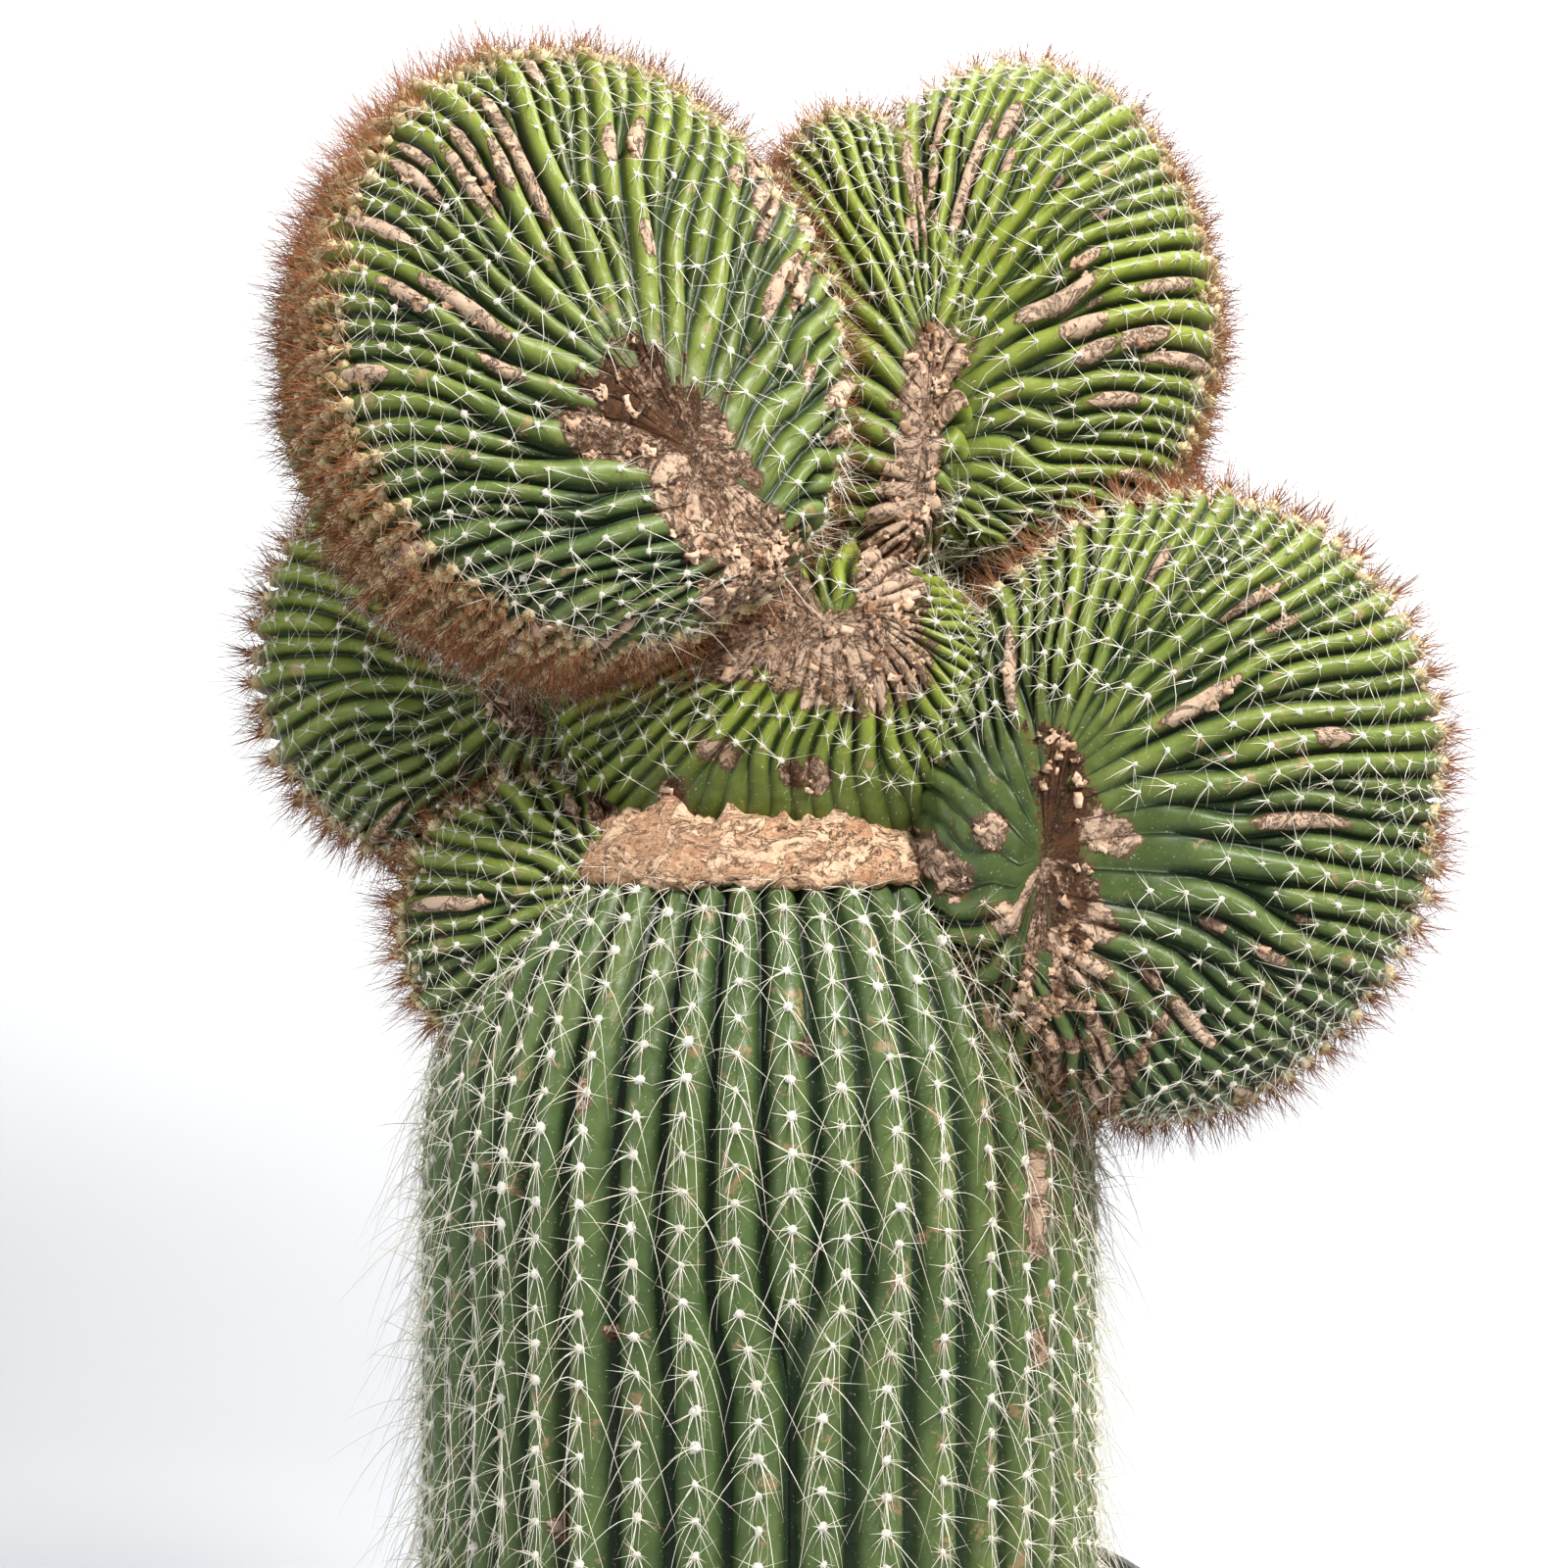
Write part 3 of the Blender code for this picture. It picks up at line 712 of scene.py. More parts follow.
def forked_ribs(first, forks, room, rng):
    """Ribs that run from the scar, with new ones that open between them on the way to the rim."""
    count = first + forks
    so_far = np.floor(np.arange(count + 1) * forks / count).astype(int)
    starts = np.full(count, -1.0)
    low, high = FORKS_OPEN
    for order, place in enumerate(np.nonzero(np.diff(so_far))[0]):
        starts[place] = low + (high - low) * halves(order + 1)
    grown = np.where(starts < 0, 1.0, eased((room[:, None] - starts) / FORK_OPENS_OVER))
    return plan_of(grown, rng, 0.11)


def stem_ribs(room, rng):
    """Upright ribs, one of which closes half way down the front."""
    grown = np.ones((len(room), STEM_RIBS))
    grown[:, STEM_CLOSING_RIB] = 1.0 - eased((room - 0.50) / 0.10)
    away = np.abs(np.arange(STEM_RIBS) - STEM_CLOSING_RIB)
    share = np.where((away > 0) & (away < 4), 1.0 / 6, 0.0)
    room_taken = 1.0 + share[None, :] * (1.0 - grown[:, [STEM_CLOSING_RIB]])
    return plan_of(grown, rng, 0.06, room_taken)


@dataclass
class Areoles:
    """The points from which wool and spines grow, with the directions there."""

    spots: np.ndarray
    outward: np.ndarray
    along: np.ndarray
    edge: np.ndarray

    @property
    def across(self):
        return np.cross(self.outward, self.along)

    def pick(self, keep):
        return Areoles(self.spots[keep], self.outward[keep], self.along[keep], self.edge[keep])


def joined(sets):
    names = ("spots", "outward", "along", "edge")
    return Areoles(*[np.concatenate([getattr(one, name) for one in sets]) for name in names])


def nearest_stroke(points, strokes):
    """1 on the middle line of the nearest stroke, 0 at its reach and less beyond, and its darkness."""
    cover = np.full(points.shape[:-1], -3.0)
    dark = np.zeros(points.shape[:-1])
    flat = np.stack([points[..., 0], points[..., 2] - CREST_FOOT.z], axis=-1)
    for stroke in strokes:
        start, end = np.array(stroke.start), np.array(stroke.end)
        run = end - start
        share = np.clip(((flat - start) @ run) / max(run @ run, 1e-9), 0.0, 1.0)
        gap = np.linalg.norm(flat - start - share[..., None] * run, axis=-1)
        here = 1.0 - gap / stroke.reach
        dark = np.where(here > cover, stroke.dark, dark)
        cover = np.maximum(cover, here)
    return cover, dark


def cork_of_strokes(points, facing, strokes):
    """How far cork covers each point, and how dark it is. Only the front of the plant has it."""
    cover, dark = nearest_stroke(points, strokes)
    ragged = rough_field(points, 0.015, 31) + 0.6 * rough_field(points, 0.005, 37)
    cover = np.clip(0.42 + 0.60 * cover + 0.42 * ragged * (cover > -1.2), 0.0, 1.0)
    return cover * eased((0.25 - facing) / 0.3), dark


@dataclass
class Body:
    """One ribbed body as it is laid out: rows run from pole to pole, columns go round."""

    surface: object
    falls: np.ndarray
    plan: RibPlan
    fade: np.ndarray  # how deep the furrows are on each row
    melted: np.ndarray  # 1 where the ribs of a row run together
    deepest: float
    spacing: np.ndarray  # from one areole to the next, on each row
    edge: np.ndarray  # 1 on the growing edge
    strokes: tuple
    patches: int


def ribbed(body, rng):
    """Ribs laid over a smooth surface. Gives the points, what the skin shows there, and the areoles."""
    plan, falls, rows = body.plan, body.falls, len(body.falls)
    share = np.arange(COLUMNS_PER_RIB) / COLUMNS_PER_RIB
    turns = 2 * math.pi * (plan.edges[:, :, None] + plan.widths[:, :, None] * share).reshape(rows, -1)
    deep = np.repeat(falls[:, None], turns.shape[1], axis=1)
    base = body.surface(turns, deep)
    around = body.surface(turns + SMALL_TURN, deep) - base
    ahead = body.surface(turns, np.clip(deep + SMALL_TURN, 0, 1))
    down = ahead - body.surface(turns, np.clip(deep - SMALL_TURN, 0, 1))
    outward = unit(np.cross(down, around))
    away = np.einsum("ijk,ijk->ij", outward, base - base.mean(axis=(0, 1)))
    outward = outward * np.sign(away.mean())

    wide = np.linalg.norm(around, axis=-1) / SMALL_TURN * 2 * math.pi
    pitch = wide * np.repeat(plan.widths, COLUMNS_PER_RIB, axis=1)
    even_pitch = wide / plan.grown.sum(axis=1)[:, None]
    smooth = eased(nearest_stroke(base, SMOOTH_RUNS)[0] * 1.6) * eased((0.1 - outward[..., 1]) / 0.3)
    smooth = np.maximum(smooth, body.melted[:, None])
    low = body.fade[:, None] * (1.0 - 0.82 * smooth) * (1.0 - 0.9 * body.melted[:, None])
    trough = np.minimum(even_pitch * RIB_DEPTH_SHARE, body.deepest) * low
    tall = np.repeat(plan.tall[None, :] * plan.grown, COLUMNS_PER_RIB, axis=1)
    relief = np.minimum(pitch * RIB_DEPTH_SHARE, body.deepest * 1.1) * tall * low
    profile = np.tile(1.0 - np.abs(2.0 * share - 1.0) ** RIB_FULLNESS, plan.count)[None, :]

    middle_column = np.arange(plan.count) * COLUMNS_PER_RIB + COLUMNS_PER_RIB // 2
    crest_line = base[:, middle_column]
    steps = np.linalg.norm(np.diff(crest_line, axis=0), axis=-1)
    along = np.concatenate([np.zeros((1, plan.count)), np.cumsum(steps, axis=0)])
    between = (body.spacing[1:] + body.spacing[:-1])[:, None] / 2
    phase = np.concatenate([np.zeros((1, plan.count)), np.cumsum(steps / between, axis=0)])
    phase = phase + rng.uniform(0, 1, plan.count)[None, :]
    swell = 0.5 + 0.5 * np.cos(2 * math.pi * np.repeat(phase, COLUMNS_PER_RIB, axis=1))
    swell = swell * profile * BUMP_HEIGHT * (1.0 + body.edge[:, None])

    cork, dark = cork_of_strokes(base, outward[..., 1], body.strokes)
    add_patches(body, rng, along, cork, dark)
    crust = eased((cork - 0.42) / 0.14)
    wrinkle = 1.0 - np.abs(rough_field(base, 0.0075, 57)) * 2.2
    lumps = crust * (0.0009 * wrinkle - 0.0001 + 0.0009 * rough_field(base, 0.0035, 63))
    lift = relief * profile - 0.55 * trough
    bridged = crust * (dark > 0.3)
    domed = eased((cork - 0.50) / 0.45) * (np.abs(dark - BLISTERED) < 1e-6)
    lift = lift * (1.0 - 0.65 * bridged) + swell + lumps + BLISTER_RISE * domed
    points = base + outward * lift[..., None]

    crossing = np.floor(phase[1:]) > np.floor(phase[:-1])
    open_enough = (plan.grown[1:] > 0.6) & (pitch[1:, middle_column] > NARROWEST_BEARING_RIB)
    row, rib = np.nonzero(crossing & open_enough)
    part = (np.floor(phase[row + 1, rib]) - phase[row, rib]) / (phase[row + 1, rib] - phase[row, rib])
    here, there = points[row, middle_column[rib]], points[row + 1, middle_column[rib]]
    column = middle_column[rib]
    bare = (crust[row, column] < 0.4) & (smooth[row, column] < rng.uniform(0.2, 1.0, len(row)))
    spots = here + (there - here) * part[:, None]
    areoles = Areoles(spots, outward[row, column], unit(there - here), body.edge[row])
    ridge = profile * np.clip(relief / np.maximum(trough, 1e-5), 0.5, 1.1)
    even = np.maximum(np.maximum(smooth * 0.85, body.melted[:, None]), 0.75 * bridged)
    skin = {"ridge": ridge + (0.62 - ridge) * even, "cork": cork, "cork_dark": dark}
    torn = (crust > 0.6) & (rng.uniform(0, 1, crust.shape) < FLAKING_SHARE)
    flakes = (points[torn], outward[torn])
    return points, skin, areoles.pick(bare), edge_areoles(points, outward, body, rng), flakes


def edge_areoles(points, outward, body, rng):
    """The crowded young areoles of the growing edge, which stand in furrows as well as on ribs."""
    side = np.linalg.norm(np.roll(points, -1, axis=1) - points, axis=-1)
    length = np.linalg.norm(np.diff(points, axis=0, append=points[-1:]), axis=-1)
    expected = side * length * body.edge[:, None] / EDGE_AREOLE_ROOM
    row, column = np.nonzero(rng.uniform(0, 1, expected.shape) < expected)
    ahead = np.minimum(row + 1, len(points) - 1)
    along = unit(points[ahead, column] - points[row, column] + 1e-9)
    return Areoles(points[row, column], outward[row, column], along, body.edge[row])


def add_patches(body, rng, along, cork, dark):
    """Long lens-shaped patches of cork, each on one rib of the front."""
    share = np.arange(COLUMNS_PER_RIB) / COLUMNS_PER_RIB
    total = along[-1].mean()
    for _ in range(body.patches):
        rib = int(rng.integers(body.plan.count))
        centre = total * rng.uniform(*PATCH_ZONE)
        length = rng.uniform(*PATCH_LENGTH)
        wide = rng.uniform(*PATCH_WIDTH)
        columns = slice(rib * COLUMNS_PER_RIB, (rib + 1) * COLUMNS_PER_RIB)
        offset = (2.0 * share - 1.0 + rng.uniform(-PATCH_SHIFT, PATCH_SHIFT)) / wide
        run = np.abs((along[:, rib, None] - centre) / length) ** 1.5
        lens = 1.0 - np.abs(offset[None, :]) ** 3 - run
        lens = np.clip(0.36 + 0.60 * lens, 0.0, 1.0) * (body.plan.grown[:, rib, None] > 0.5)
        rim = np.clip(0.66 - lens, 0.0, 1.0) * 1.3
        dark[:, columns] = np.where(lens > cork[:, columns], rim, dark[:, columns])
        cork[:, columns] = np.maximum(cork[:, columns], lens)


def build_fan(fan, rng, inside, material):
    def surface(turn, fall):
        return fan_surface(fan, turn, fall)

    falls = even_falls(surface, fan.rows, 0.012, 0.985)
    room = np.sin(np.pi * falls) ** fan.fullness
    line = surface(np.full(len(falls), math.pi), falls)
    steps = np.concatenate([[0.0], np.cumsum(np.linalg.norm(np.diff(line, axis=0), axis=1))])
    to_edge = np.abs(steps - np.interp(0.5, falls, steps) + fan.edge_forward)
    edge = eased(1.5 - to_edge / fan.edge)
    near = eased(1.0 - (to_edge - fan.edge) / EDGE_FADES_OVER)
    body = Body(
        surface=surface,
        falls=falls,
        plan=forked_ribs(fan.first_ribs, fan.forks, room, rng),
        fade=0.30 + 0.70 * eased((room - MELTED_TO) / FURROWS_DEEPEN_OVER) - 0.35 * edge,
        melted=1.0 - eased((room - MELTED_TO) / RIBS_STAND_OVER),
        deepest=RIB_MOST_DEPTH,
        spacing=EDGE_AREOLE_STEP + (AREOLE_STEP - EDGE_AREOLE_STEP) * (1.0 - near),
        edge=edge,
        strokes=STROKES,
        patches=fan.patches,
    )
    points, skin, areoles, young, flakes = ribbed(body, rng)
    middle = points.mean(axis=(0, 1))
    skin["edge"] = np.repeat(edge[:, None], points.shape[1], axis=1)
    # Painted light: the upper part of each fan is given more painted sunlight, its lower part more painted
    # shade.
    shade = 0.45 * (points[..., 2] - middle[2]) / fan.half_tall
    skin["sunlit"] = np.clip(fan.sunlit + shade, 0.0, 1.1)
    finish_piece(loft_object(fan.name + "_fan", points, *points[[0, -1]].mean(axis=1), skin), material)
    return areoles.pick(~inside(areoles.spots)), young.pick(~inside(young.spots)), flakes


def build_stem(rng, inside, material):
    falls = even_falls(stem_surface, STEM_ROWS, 0.02, 0.999)
    room = np.linspace(0.0, 1.0, len(falls))
    body = Body(
        surface=stem_surface,
        falls=falls,
        plan=stem_ribs(room, rng),
        fade=np.ones(len(falls)),
        melted=np.zeros(len(falls)),
        deepest=STEM_RELIEF,
        spacing=np.full(len(falls), AREOLE_STEP),
        edge=np.zeros(len(falls)),
        strokes=STEM_STROKES,
        patches=0,
    )
    points, skin, areoles, _, _ = ribbed(body, rng)
    skin["edge"] = np.zeros(points.shape[:2])
    # Painted light: the stem's right side is given a little painted sunlight, the rest stays in painted
    # shade.
    skin["sunlit"] = 0.05 + 0.15 * eased((points[..., 0] - 0.03) / 0.08)
    foot = np.array([STEM_OFFSET, 0.0, plant_low.z])
    top = np.array([STEM_OFFSET, 0.0, STEM_SHOULDER_HEIGHT + STEM_DOME_RISE])
    piece = loft_object("stem", points, top, foot, skin)
    finish_piece(piece, material)
    above = areoles.spots[:, 2] > mix_high.z + 0.004
    return piece, areoles.pick(above & ~inside(areoles.spots))


def build_collar(material):
    """A thick ring of cork under the crest, with a torn upper edge that runs up in spurs."""
    around, across = 420, 56
    turn = np.linspace(0, 2 * math.pi, around, endpoint=False)[None, :]
    ring = np.linspace(0, 2 * math.pi, across, endpoint=False)[:, None]
    circle = np.stack([np.cos(turn), np.sin(turn), 0 * turn], axis=-1)
    top = COLLAR_HALF_HEIGHT * (1.0 + 0.22 * uneven(circle, 0.11, 5) + 0.22 * uneven(circle, 0.035, 6))
    foot = COLLAR_HALF_HEIGHT * (1.0 + 0.10 * uneven(circle, 0.045, 8))
    for spur, wide, tall in COLLAR_SPURS:
        bend = np.angle(np.exp(1j * (turn - spur)))
        top = top + tall * np.exp(-np.abs(bend / wide) ** 1.4)
    rise, reach = np.sin(ring), np.cos(ring)
    height = np.where(rise > 0, np.abs(rise) ** 0.7 * top, -(np.abs(rise) ** 0.7) * foot)
    radius = COLLAR_RADIUS + COLLAR_DEPTH * np.sign(reach) * np.abs(reach) ** 0.6 - COLLAR_SLANT * height
    points = np.stack(
        [radius * np.cos(turn) + STEM_OFFSET, radius * np.sin(turn), CREST_FOOT.z + height], axis=-1
    )
    out = unit(np.stack([np.cos(turn) * reach, np.sin(turn) * reach, rise + 0 * turn], axis=-1))
    crease = np.abs(rough_field(points * np.array([1.0, 1.0, 1.6]), 0.010, 91))
    fine = np.abs(rough_field(points, 0.0045, 97))
    lumps = 0.0026 * rough_field(points, 0.020, 71) - 0.0012 * eased(1.0 - crease / 0.10)
    points = points + out * (lumps - 0.0005 * eased(1.0 - fine / 0.12))[..., None]
    mesh = bpy.data.meshes.new("cork_collar")
    index = np.arange(around * across).reshape(across, around)
    right, up = np.roll(index, -1, axis=1), np.roll(index, -1, axis=0)
    quads = np.stack([index, right, np.roll(right, -1, axis=0), up], axis=-1).reshape(-1, 4)
    mesh.from_pydata(points.reshape(-1, 3).tolist(), [], quads.tolist())
    # How far each point sits in a dent, kept as a field for the collar's painted shade in its hollows.
    painted_hollow_shade = eased(1.0 - crease / 0.09) * 0.7 + eased(1.0 - fine / 0.08) * 0.4
    store_field(mesh, "painted_hollow_shade", painted_hollow_shade.reshape(-1))
    mesh.shade_smooth()
    return finish_piece(link_object("cork_collar", mesh), material)


# ---- spines, wool and grit
def new_tree(name, sizes):
    """A tree that starts from bare points, with a named input for each size."""
    tree = bpy.data.node_groups.new(name, "GeometryNodeTree")
    tree.interface.new_socket("Geometry", in_out="INPUT", socket_type="NodeSocketGeometry")
    for title, value in sizes.items():
        kind = "NodeSocketInt" if isinstance(value, int) else "NodeSocketFloat"
        tree.interface.new_socket(title, in_out="INPUT", socket_type=kind).default_value = value
    tree.interface.new_socket("Geometry", in_out="OUTPUT", socket_type="NodeSocketGeometry")
    bench = Bench(tree)
    way_in = tree.nodes.new("NodeGroupInput")
    given = {socket.name: Wire(bench, socket) for socket in way_in.outputs if socket.name}
    return bench, given, bench.add("GeometryNodeMeshToPoints", {"Mesh": given["Geometry"]})


def end_tree(bench, geometry, material):
    skin = bench.add("GeometryNodeSetShadeSmooth", {"Geometry": geometry})
    shown = bench.add("GeometryNodeSetMaterial", {"Geometry": skin, "Material": material})
    bench.tree.links.new(shown.socket, bench.tree.nodes.new("NodeGroupOutput").inputs[0])
    return bench.tree


def named(bench, name, kind="FLOAT"):
    return bench.add("GeometryNodeInputNamedAttribute", {"Name": name}, data_type=kind)


def moved(bench, geometry, offset):
    return bench.add("GeometryNodeSetPosition", {"Geometry": geometry, "Offset": offset})


def times(bench, vector, by):
    return bench.add("ShaderNodeVectorMath", {0: vector, "Scale": by}, operation="SCALE")


def vector_of(bench, **parts):
    return bench.add("ShaderNodeCombineXYZ", parts)


def chance(bench, low, high, seed):
    """A random number or vector between these ends."""
    alone = isinstance(low, float)
    inputs = {2: low, 3: high, "Seed": seed} if alone else {0: low, 1: high, "Seed": seed}
    kind = "FLOAT" if alone else "FLOAT_VECTOR"
    return bench.add("FunctionNodeRandomValue", inputs, int(alone), data_type=kind)


def planted(bench, points, thing, scale, spin=None):
    """A copy of the thing on each point, standing along the point's aim, turned about it by a spin."""
    aim = named(bench, "aim", "FLOAT_VECTOR")
    turned = bench.add("FunctionNodeAlignRotationToVector", {"Vector": aim}, axis="Z")
    if spin:
        turned = bench.add("FunctionNodeRotateRotation", {0: turned, 1: spin}, rotation_space="LOCAL")
    inputs = {"Points": points, "Instance": thing, "Rotation": turned, "Scale": scale}
    stood = bench.add("GeometryNodeInstanceOnPoints", inputs)
    return bench.add("GeometryNodeRealizeInstances", {"Geometry": stood})


def scatter(bench, points, thing, scale, seed):
    """As planted, each turned at random."""
    spin = chance(bench, (0.0, 0.0, -math.pi), (0.0, 0.0, math.pi), seed)
    return planted(bench, points, thing, scale, spin)


def spine_tree(material):
    """Grows one tapered, bent spine from every point it is given."""
    sizes = {"Thickness": 0.0002, "Joints": 3, "Sides": 3, "Tip": 0.12}
    bench, given, points = new_tree("spines_of_" + material.name, sizes)
    line = bench.add("GeometryNodeCurvePrimitiveLine", {"End": (0.0, 0.0, 1.0)})
    line = bench.add("GeometryNodeResampleCurve", {"Curve": line, "Count": given["Joints"]})
    lines = planted(bench, points, line, named(bench, "reach"))
    factor = bench.add("GeometryNodeSplineParameter", out="Factor")
    lines = moved(bench, lines, times(bench, named(bench, "sag", "FLOAT_VECTOR"), factor * factor))
    inputs = {"Geometry": lines, "Name": "tip", "Value": factor}
    lines = bench.add("GeometryNodeStoreNamedAttribute", inputs, data_type="FLOAT", domain="POINT")
    inputs = {"Resolution": given["Sides"], "Radius": given["Thickness"]}
    section = bench.add("GeometryNodeCurvePrimitiveCircle", inputs)
    taper = (1.0 - factor * (1.0 - given["Tip"])) * named(bench, "girth")
    inputs = {"Curve": lines, "Profile Curve": section, "Scale": taper, "Fill Caps": True}
    return end_tree(bench, bench.add("GeometryNodeCurveToMesh", inputs), material)


def tuft_tree(material, seed):
    """Sets a small uneven lump on every point it is given."""
    sizes = {"Lump": 0.0016, "Flatness": 0.7, "Unevenness": 0.3}
    bench, given, points = new_tree("tufts_of_" + material.name, sizes)
    lump = bench.add("GeometryNodeMeshIcoSphere", {"Radius": 1.0, "Subdivisions": 1})
    size = named(bench, "reach") * given["Lump"]
    solid = scatter(bench, points, lump, vector_of(bench, X=size, Y=size, Z=size * given["Flatness"]), seed)
    push = chance(bench, -1.0, 1.0, seed + 1) * given["Lump"] * given["Unevenness"]
    solid = moved(bench, solid, times(bench, bench.add("GeometryNodeInputNormal"), push))
    return end_tree(bench, solid, material)


def flake_tree(material, seed):
    """Sets a thin curled flake on every point it is given, lying across the point's aim."""
    sizes = {"Length": 0.0040, "Width share": 0.55, "Thickness": 0.0005, "Curl": 0.18}
    bench, given, points = new_tree("flakes_of_" + material.name, sizes)
    inputs = {"Size": (1.0, 1.0, 1.0), "Vertices X": 4, "Vertices Y": 3, "Vertices Z": 2}
    plate = bench.add("GeometryNodeMeshCube", inputs)
    place = bench.add("ShaderNodeSeparateXYZ", {0: bench.add("GeometryNodeInputPosition")}, "X")
    rise = place * place * given["Curl"] * given["Length"] * 4.0 / given["Thickness"]
    plate = moved(bench, plate, vector_of(bench, Z=rise))
    length = named(bench, "reach") * given["Length"]
    scale = vector_of(bench, X=length, Y=length * given["Width share"], Z=given["Thickness"])
    solid = scatter(bench, points, plate, scale, seed)
    solid = moved(bench, solid, chance(bench, (-FLAKE_RAGGED,) * 3, (FLAKE_RAGGED,) * 3, seed + 3))
    return end_tree(bench, solid, material)


def grown_piece(name, points, fields, tree, sizes, material):
    """Runs a tree over bare points and keeps the result as a plain mesh."""
    mesh = bpy.data.meshes.new(name + "_roots")
    mesh.from_pydata(points.tolist(), [], [])
    for field, values in fields.items():
        store_field(mesh, field, values)
    roots = link_object(name + "_roots", mesh)
    modifier = roots.modifiers.new("grow", "NODES")
    modifier.node_group = tree
    sockets = {s.name: s.identifier for s in tree.interface.items_tree if s.in_out == "INPUT"}
    for title, value in sizes.items():
        modifier[sockets[title]] = value
    graph = bpy.context.evaluated_depsgraph_get()
    result = bpy.data.meshes.new_from_object(roots.evaluated_get(graph), depsgraph=graph)
    result.name = name
    for field in [a.name for a in result.attributes if a.name in fields]:
        result.attributes.remove(result.attributes[field])
    bpy.data.objects.remove(roots, do_unlink=True)
    return finish_piece(link_object(name, result), material)


def grow_coat(coat, areoles, finishes, rng, longest=math.inf):
    """One kind of spine, spread round each of these areoles, as one piece."""
    count, per = len(areoles.spots), coat.per
    start = rng.uniform(0, 2 * math.pi, count)[:, None]
    swing = start + 2 * math.pi * np.arange(per)[None, :] / per + rng.normal(0, 0.28, (count, per))
    lift = np.radians(np.clip(rng.normal(coat.rise, coat.rise_spread, (count, per)), 4, 88))
    along, across = areoles.along[:, None, :], areoles.across[:, None, :]
    flat = np.cos(swing)[..., None] * along + np.sin(swing)[..., None] * across
    aim = flat * np.cos(lift)[..., None] + areoles.outward[:, None, :] * np.sin(lift)[..., None]
    aim = unit(aim + coat.lead * along)
    length = coat.reach * np.clip(rng.normal(1.0, coat.reach_spread, (count, per)), 0.40, 1.6)
    length = length * rng.uniform(0.72, 1.22, count)[:, None]
    roots = np.repeat(areoles.spots[:, None, :], per, axis=1).reshape(-1, 3)
    kept = rng.uniform(0, 1, len(roots)) < coat.share
    reach = np.minimum(length.reshape(-1)[kept], longest)
    sag = np.zeros((len(reach), 3))
    if coat.hang:
        down, stray = coat.hang
        sag = np.array([0.0, 0.0, -1.0]) * (down * reach)[:, None]
        sag = sag + rng.normal(0, 1, sag.shape) * (stray * reach)[:, None]
    girth = rng.uniform(0.75, 1.25, len(reach))
    fields = {"aim": aim.reshape(-1, 3)[kept], "sag": sag, "reach": reach, "girth": girth}
    sizes = {"Thickness": coat.thickness, "Joints": coat.joints, "Sides": 3, "Tip": 0.15}
    finish = finishes[coat.finish]
    grown_piece(coat.name, roots[kept], fields, spine_tree(finish), sizes, finish)


def wool_piece(name, areoles, size, flatness, material, rng):
    fields = {"aim": areoles.outward, "reach": rng.uniform(0.7, 1.25, len(areoles.spots))}
    sizes = {"Lump": size, "Flatness": flatness, "Unevenness": 0.4}
    return grown_piece(name, areoles.spots, fields, tuft_tree(material, SEED), sizes, material)


def in_right_gap(areoles):
    """The areoles in the gap between the stem and the fan at its right."""
    right, back, up = (areoles.spots - np.array([0.0, 0.0, CREST_FOOT.z])).T
    return areoles.pick((right > 0.060) & (right < 0.112) & (up > -0.125) & (up < -0.014) & (back < 0.03))


def build_flakes(found, collar, material, rng):
    """Loose curled flakes over the torn cork and over the collar."""
    spots = np.concatenate([one[0] for one in found])
    outward = np.concatenate([one[1] for one in found])
    mesh = collar.data
    count = len(mesh.vertices)
    places = np.empty(count * 3)
    mesh.vertices.foreach_get("co", places)
    places = places.reshape(-1, 3)
    away = places - np.array([STEM_OFFSET, 0.0, CREST_FOOT.z])
    away[:, 2] *= 0.3
    chosen = rng.permutation(count)[:COLLAR_FLAKES]
    chosen = chosen[np.hypot(away[chosen, 0], away[chosen, 1]) > COLLAR_RADIUS]
    spots = np.concatenate([spots, places[chosen]])
    outward = unit(np.concatenate([outward, unit(away[chosen])]))
    tilt = rng.normal(0.0, 0.22, outward.shape)
    fields = {"aim": unit(outward + tilt), "reach": rng.uniform(0.35, 1.3, len(spots))}
    return grown_piece("cork_flakes", spots, fields, flake_tree(material, SEED), {}, material)


def build_grit(material, rng):
    """Grains lying on the mix, between the stem and the wall of the pot."""
    reach = (mix_high.x - mix_low.x) / 2 - GRIT_SIZE
    turn = rng.uniform(0, 2 * math.pi, GRIT_COUNT)
    away = np.sqrt(rng.uniform((STEM_RADIUS * 0.93 / reach) ** 2, 1.0, GRIT_COUNT)) * reach
    height = mix_high.z + GRIT_SIZE * rng.uniform(-0.2, 0.35, GRIT_COUNT)
    spots = np.stack([away * np.cos(turn), away * np.sin(turn), height], axis=-1)
    fields = {"aim": unit(rng.normal(0, 1, spots.shape)), "reach": rng.uniform(0.35, 1.2, GRIT_COUNT)}
    sizes = {"Lump": GRIT_SIZE, "Flatness": 0.75, "Unevenness": 0.35}
    tree = tuft_tree(material, SEED + 5)
    return grown_piece("grit", spots, fields, tree, sizes, material)


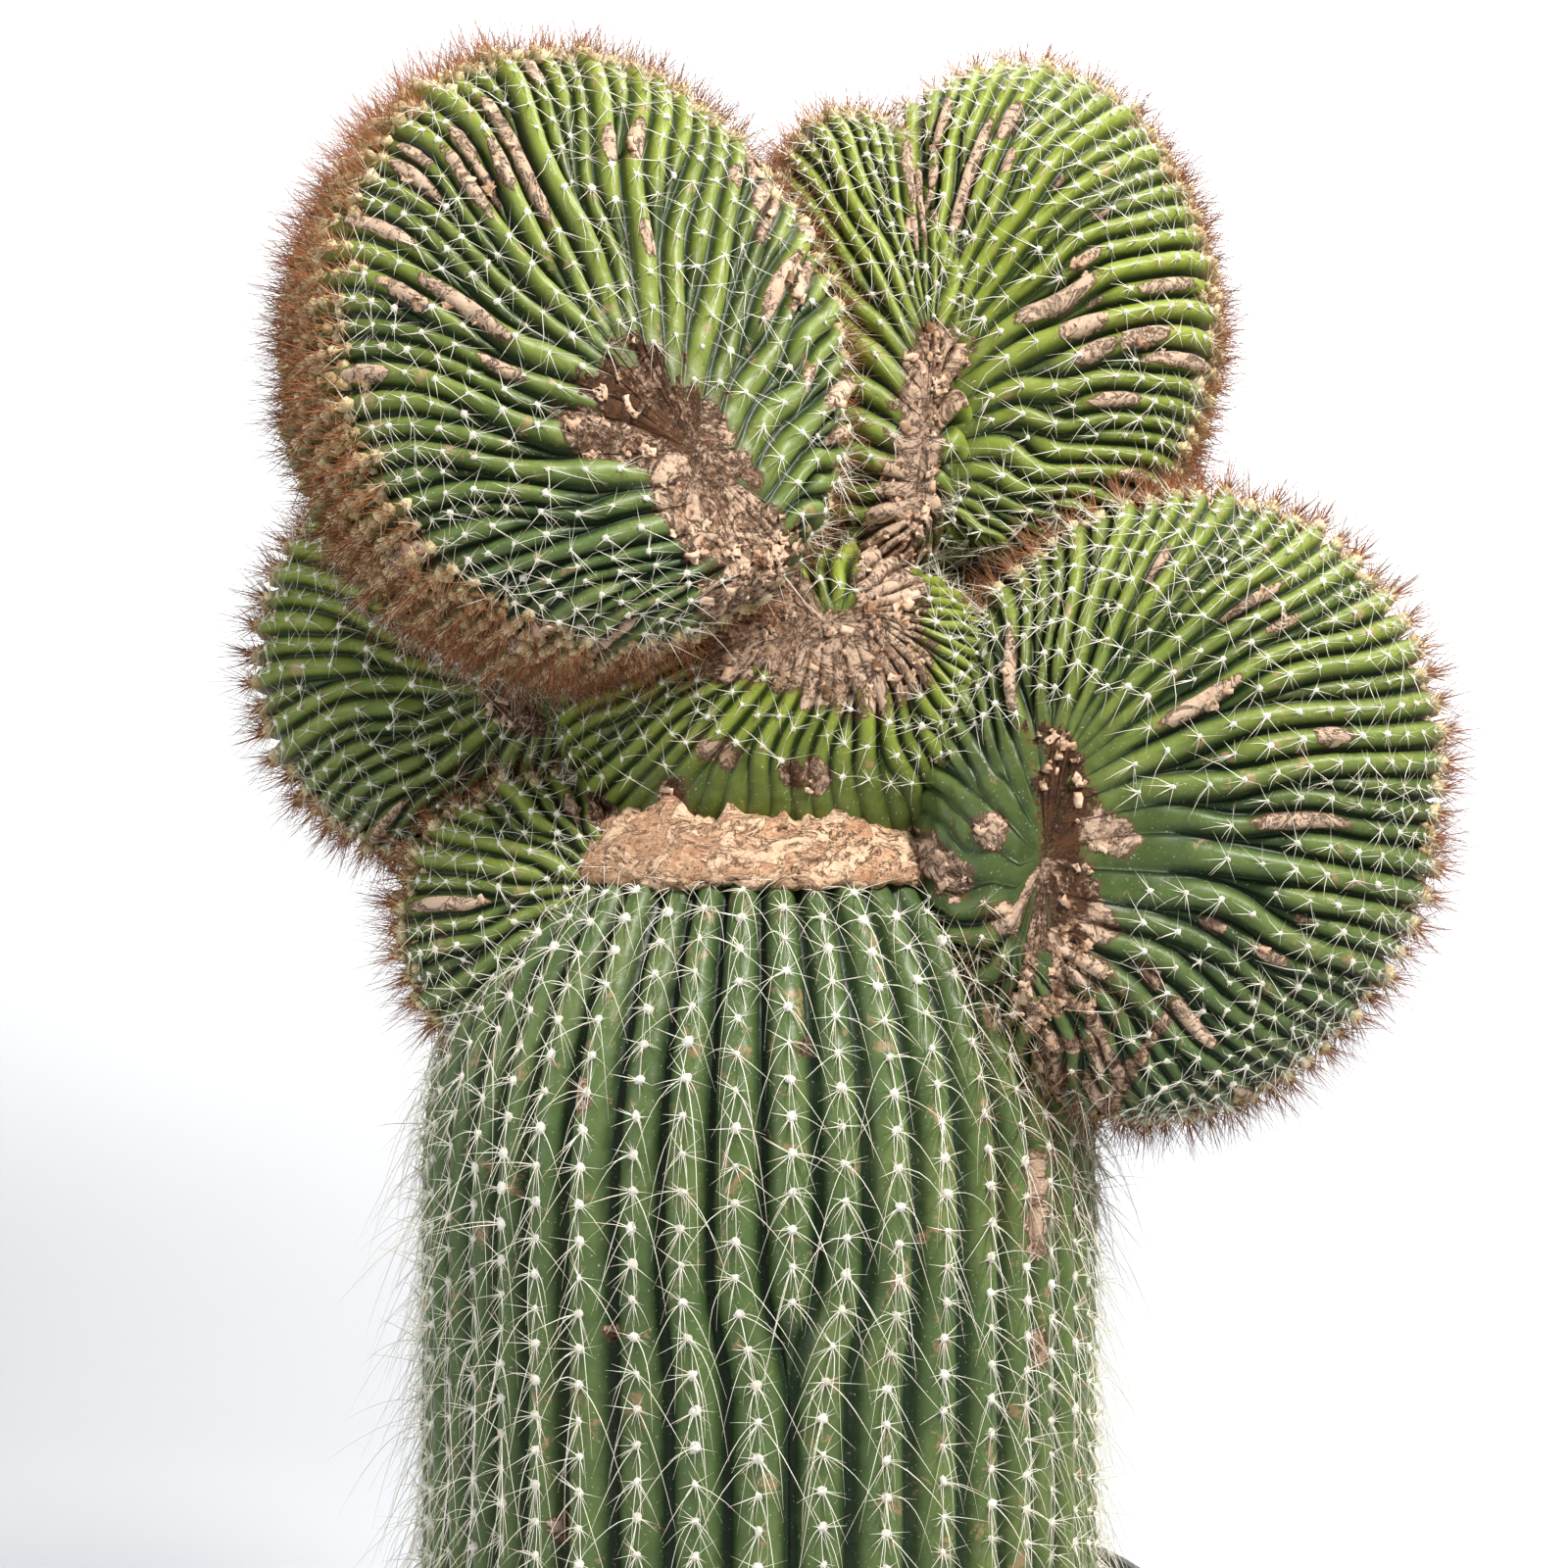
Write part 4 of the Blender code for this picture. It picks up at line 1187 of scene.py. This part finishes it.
def main():
    rng = np.random.default_rng(SEED)
    skin_of_cad = BVHTree.FromObject(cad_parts["cactus"], bpy.context.evaluated_depsgraph_get())

    def inside(points):
        hidden = np.zeros(len(points), dtype=bool)
        for index, point in enumerate(points):
            nearest, normal, _, gap = skin_of_cad.find_nearest(Vector(point))
            hidden[index] = gap > HIDDEN_DEPTH and (Vector(point) - nearest).dot(normal) < 0
        return hidden

    flesh = flesh_finish("ribbed_flesh")
    stem, stem_areoles = build_stem(rng, inside, flesh)
    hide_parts("cactus")
    sets, crowded, flakes = [], [], []
    for fan in FANS:
        areoles, young, torn = build_fan(fan, rng, inside, flesh)
        sets.append(areoles)
        crowded.append(young)
        shown = ~inside(torn[0])
        flakes.append([part[shown] for part in torn])
    collar = build_collar(collar_finish())
    build_flakes(flakes, collar, flake_finish(), rng)

    finishes = {name: spine_finish(name, *colours) for name, colours in SPINE_COLOURS.items()}
    felt = felt_finish("white_felt", (0.92, 0.89, 0.82), (0.66, 0.60, 0.50))
    edge_felt = felt_finish("yellow_felt", (0.800, 0.690, 0.430), (0.400, 0.280, 0.130))

    for coat in STEM_COATS:
        grow_coat(coat, stem_areoles, finishes, rng)
    areoles = joined(sets)
    face = areoles.pick(areoles.edge < 0.5)
    rim = joined([areoles.pick(areoles.edge >= 0.3), *crowded])
    for coat in FACE_COATS:
        grow_coat(coat, face, finishes, rng)
    for coat in EDGE_COATS:
        grow_coat(coat, rim, finishes, rng, LONGEST_EDGE_BRISTLE)
    wool_piece("stem_wool", stem_areoles, 0.0017, 0.8, felt, rng)
    wool_piece("crest_wool", face, 0.0011, 0.7, felt, rng)
    wool_piece("edge_wool", rim, 0.0022, 1.1, edge_felt, rng)
    build_grit(grit_finish(), rng)
    grow_coat(DRY_COAT, in_right_gap(joined([stem_areoles, face])), finishes, rng)
    dress_cad("pot", pot_finish())
    dress_cad("potting_mix", mix_finish())


def dress_cad(node, material):
    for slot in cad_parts[node].material_slots:
        slot.material = material


# ---- room, light and camera
VIEW_HEIGHT = 0.563
VIEW_DISTANCE = 0.790
LENS = 50.1


def aimed(thing, target):
    way = Vector(target) - thing.location
    thing.rotation_euler = way.to_track_quat("-Z", "Y").to_euler()


def soft_light(name, place, target, size, power, colour=(1.0, 1.0, 1.0)):
    data = bpy.data.lights.new(name, "AREA")
    data.shape = "DISK"
    data.size = size
    data.energy = power
    data.color = colour
    lamp = bpy.data.objects.new(name, data)
    bpy.context.scene.collection.objects.link(lamp)
    lamp.location = place
    aimed(lamp, target)


def build_room():
    scene = bpy.context.scene
    floor = Finish("pale_floor", 0.9, 0.1)
    height = floor.add("ShaderNodeSeparateXYZ", {0: floor.place}, "Z")
    # Painted shade: the floor is a darker grey low down and turns pale up the curved backdrop.
    shade = (height + (floor.noise(1.2, 2.0) - 0.5) * 0.1).between(0.0, 0.6)
    floor.feed("Base Color", floor.blend(shade, (0.50, 0.51, 0.53), (0.86, 0.87, 0.89)))
    mesh = bpy.data.meshes.new("floor")
    half, back, tall, bend = 3.0, 1.6, 3.0, 0.5
    turns = np.linspace(0, math.pi / 2, 13)
    curve = [(back - bend + bend * math.sin(a), bend - bend * math.cos(a)) for a in turns]
    profile = [(-4.0, 0.0), *curve, (back, tall)]
    points = [(x, y, z - 0.0005) for y, z in profile for x in (-half, half)]
    faces = [(2 * i, 2 * i + 1, 2 * i + 3, 2 * i + 2) for i in range(len(profile) - 1)]
    mesh.from_pydata(points, [], faces)
    mesh.materials.append(floor.material)
    mesh.shade_smooth()
    link_object("floor", mesh)

    world = bpy.data.worlds.new("studio")
    scene.world = world
    world.use_nodes = True
    backdrop = world.node_tree.nodes["Background"]
    backdrop.inputs["Color"].default_value = (1.0, 1.0, 1.0, 1.0)
    backdrop.inputs["Strength"].default_value = 0.42
    middle = (0.0, 0.0, 0.60)
    soft_light("key", (0.9, -1.0, 1.9), middle, 0.35, 58.0, (1.0, 0.975, 0.93))
    soft_light("fill", (-1.4, -0.9, 0.9), middle, 1.2, 11.0, (0.92, 0.96, 1.0))
    soft_light("wall_wash", (0.6, 0.5, 2.0), (0.3, 1.6, 0.8), 1.0, 40.0)

    data = bpy.data.cameras.new("camera")
    data.lens = LENS
    data.sensor_width = 36.0
    camera = bpy.data.objects.new("camera", data)
    scene.collection.objects.link(camera)
    camera.location = (0.001, -VIEW_DISTANCE, VIEW_HEIGHT)
    camera.rotation_euler = (math.pi / 2, 0.0, 0.0)
    scene.camera = camera
    scene.view_settings.view_transform = "Standard"


main()
build_room()
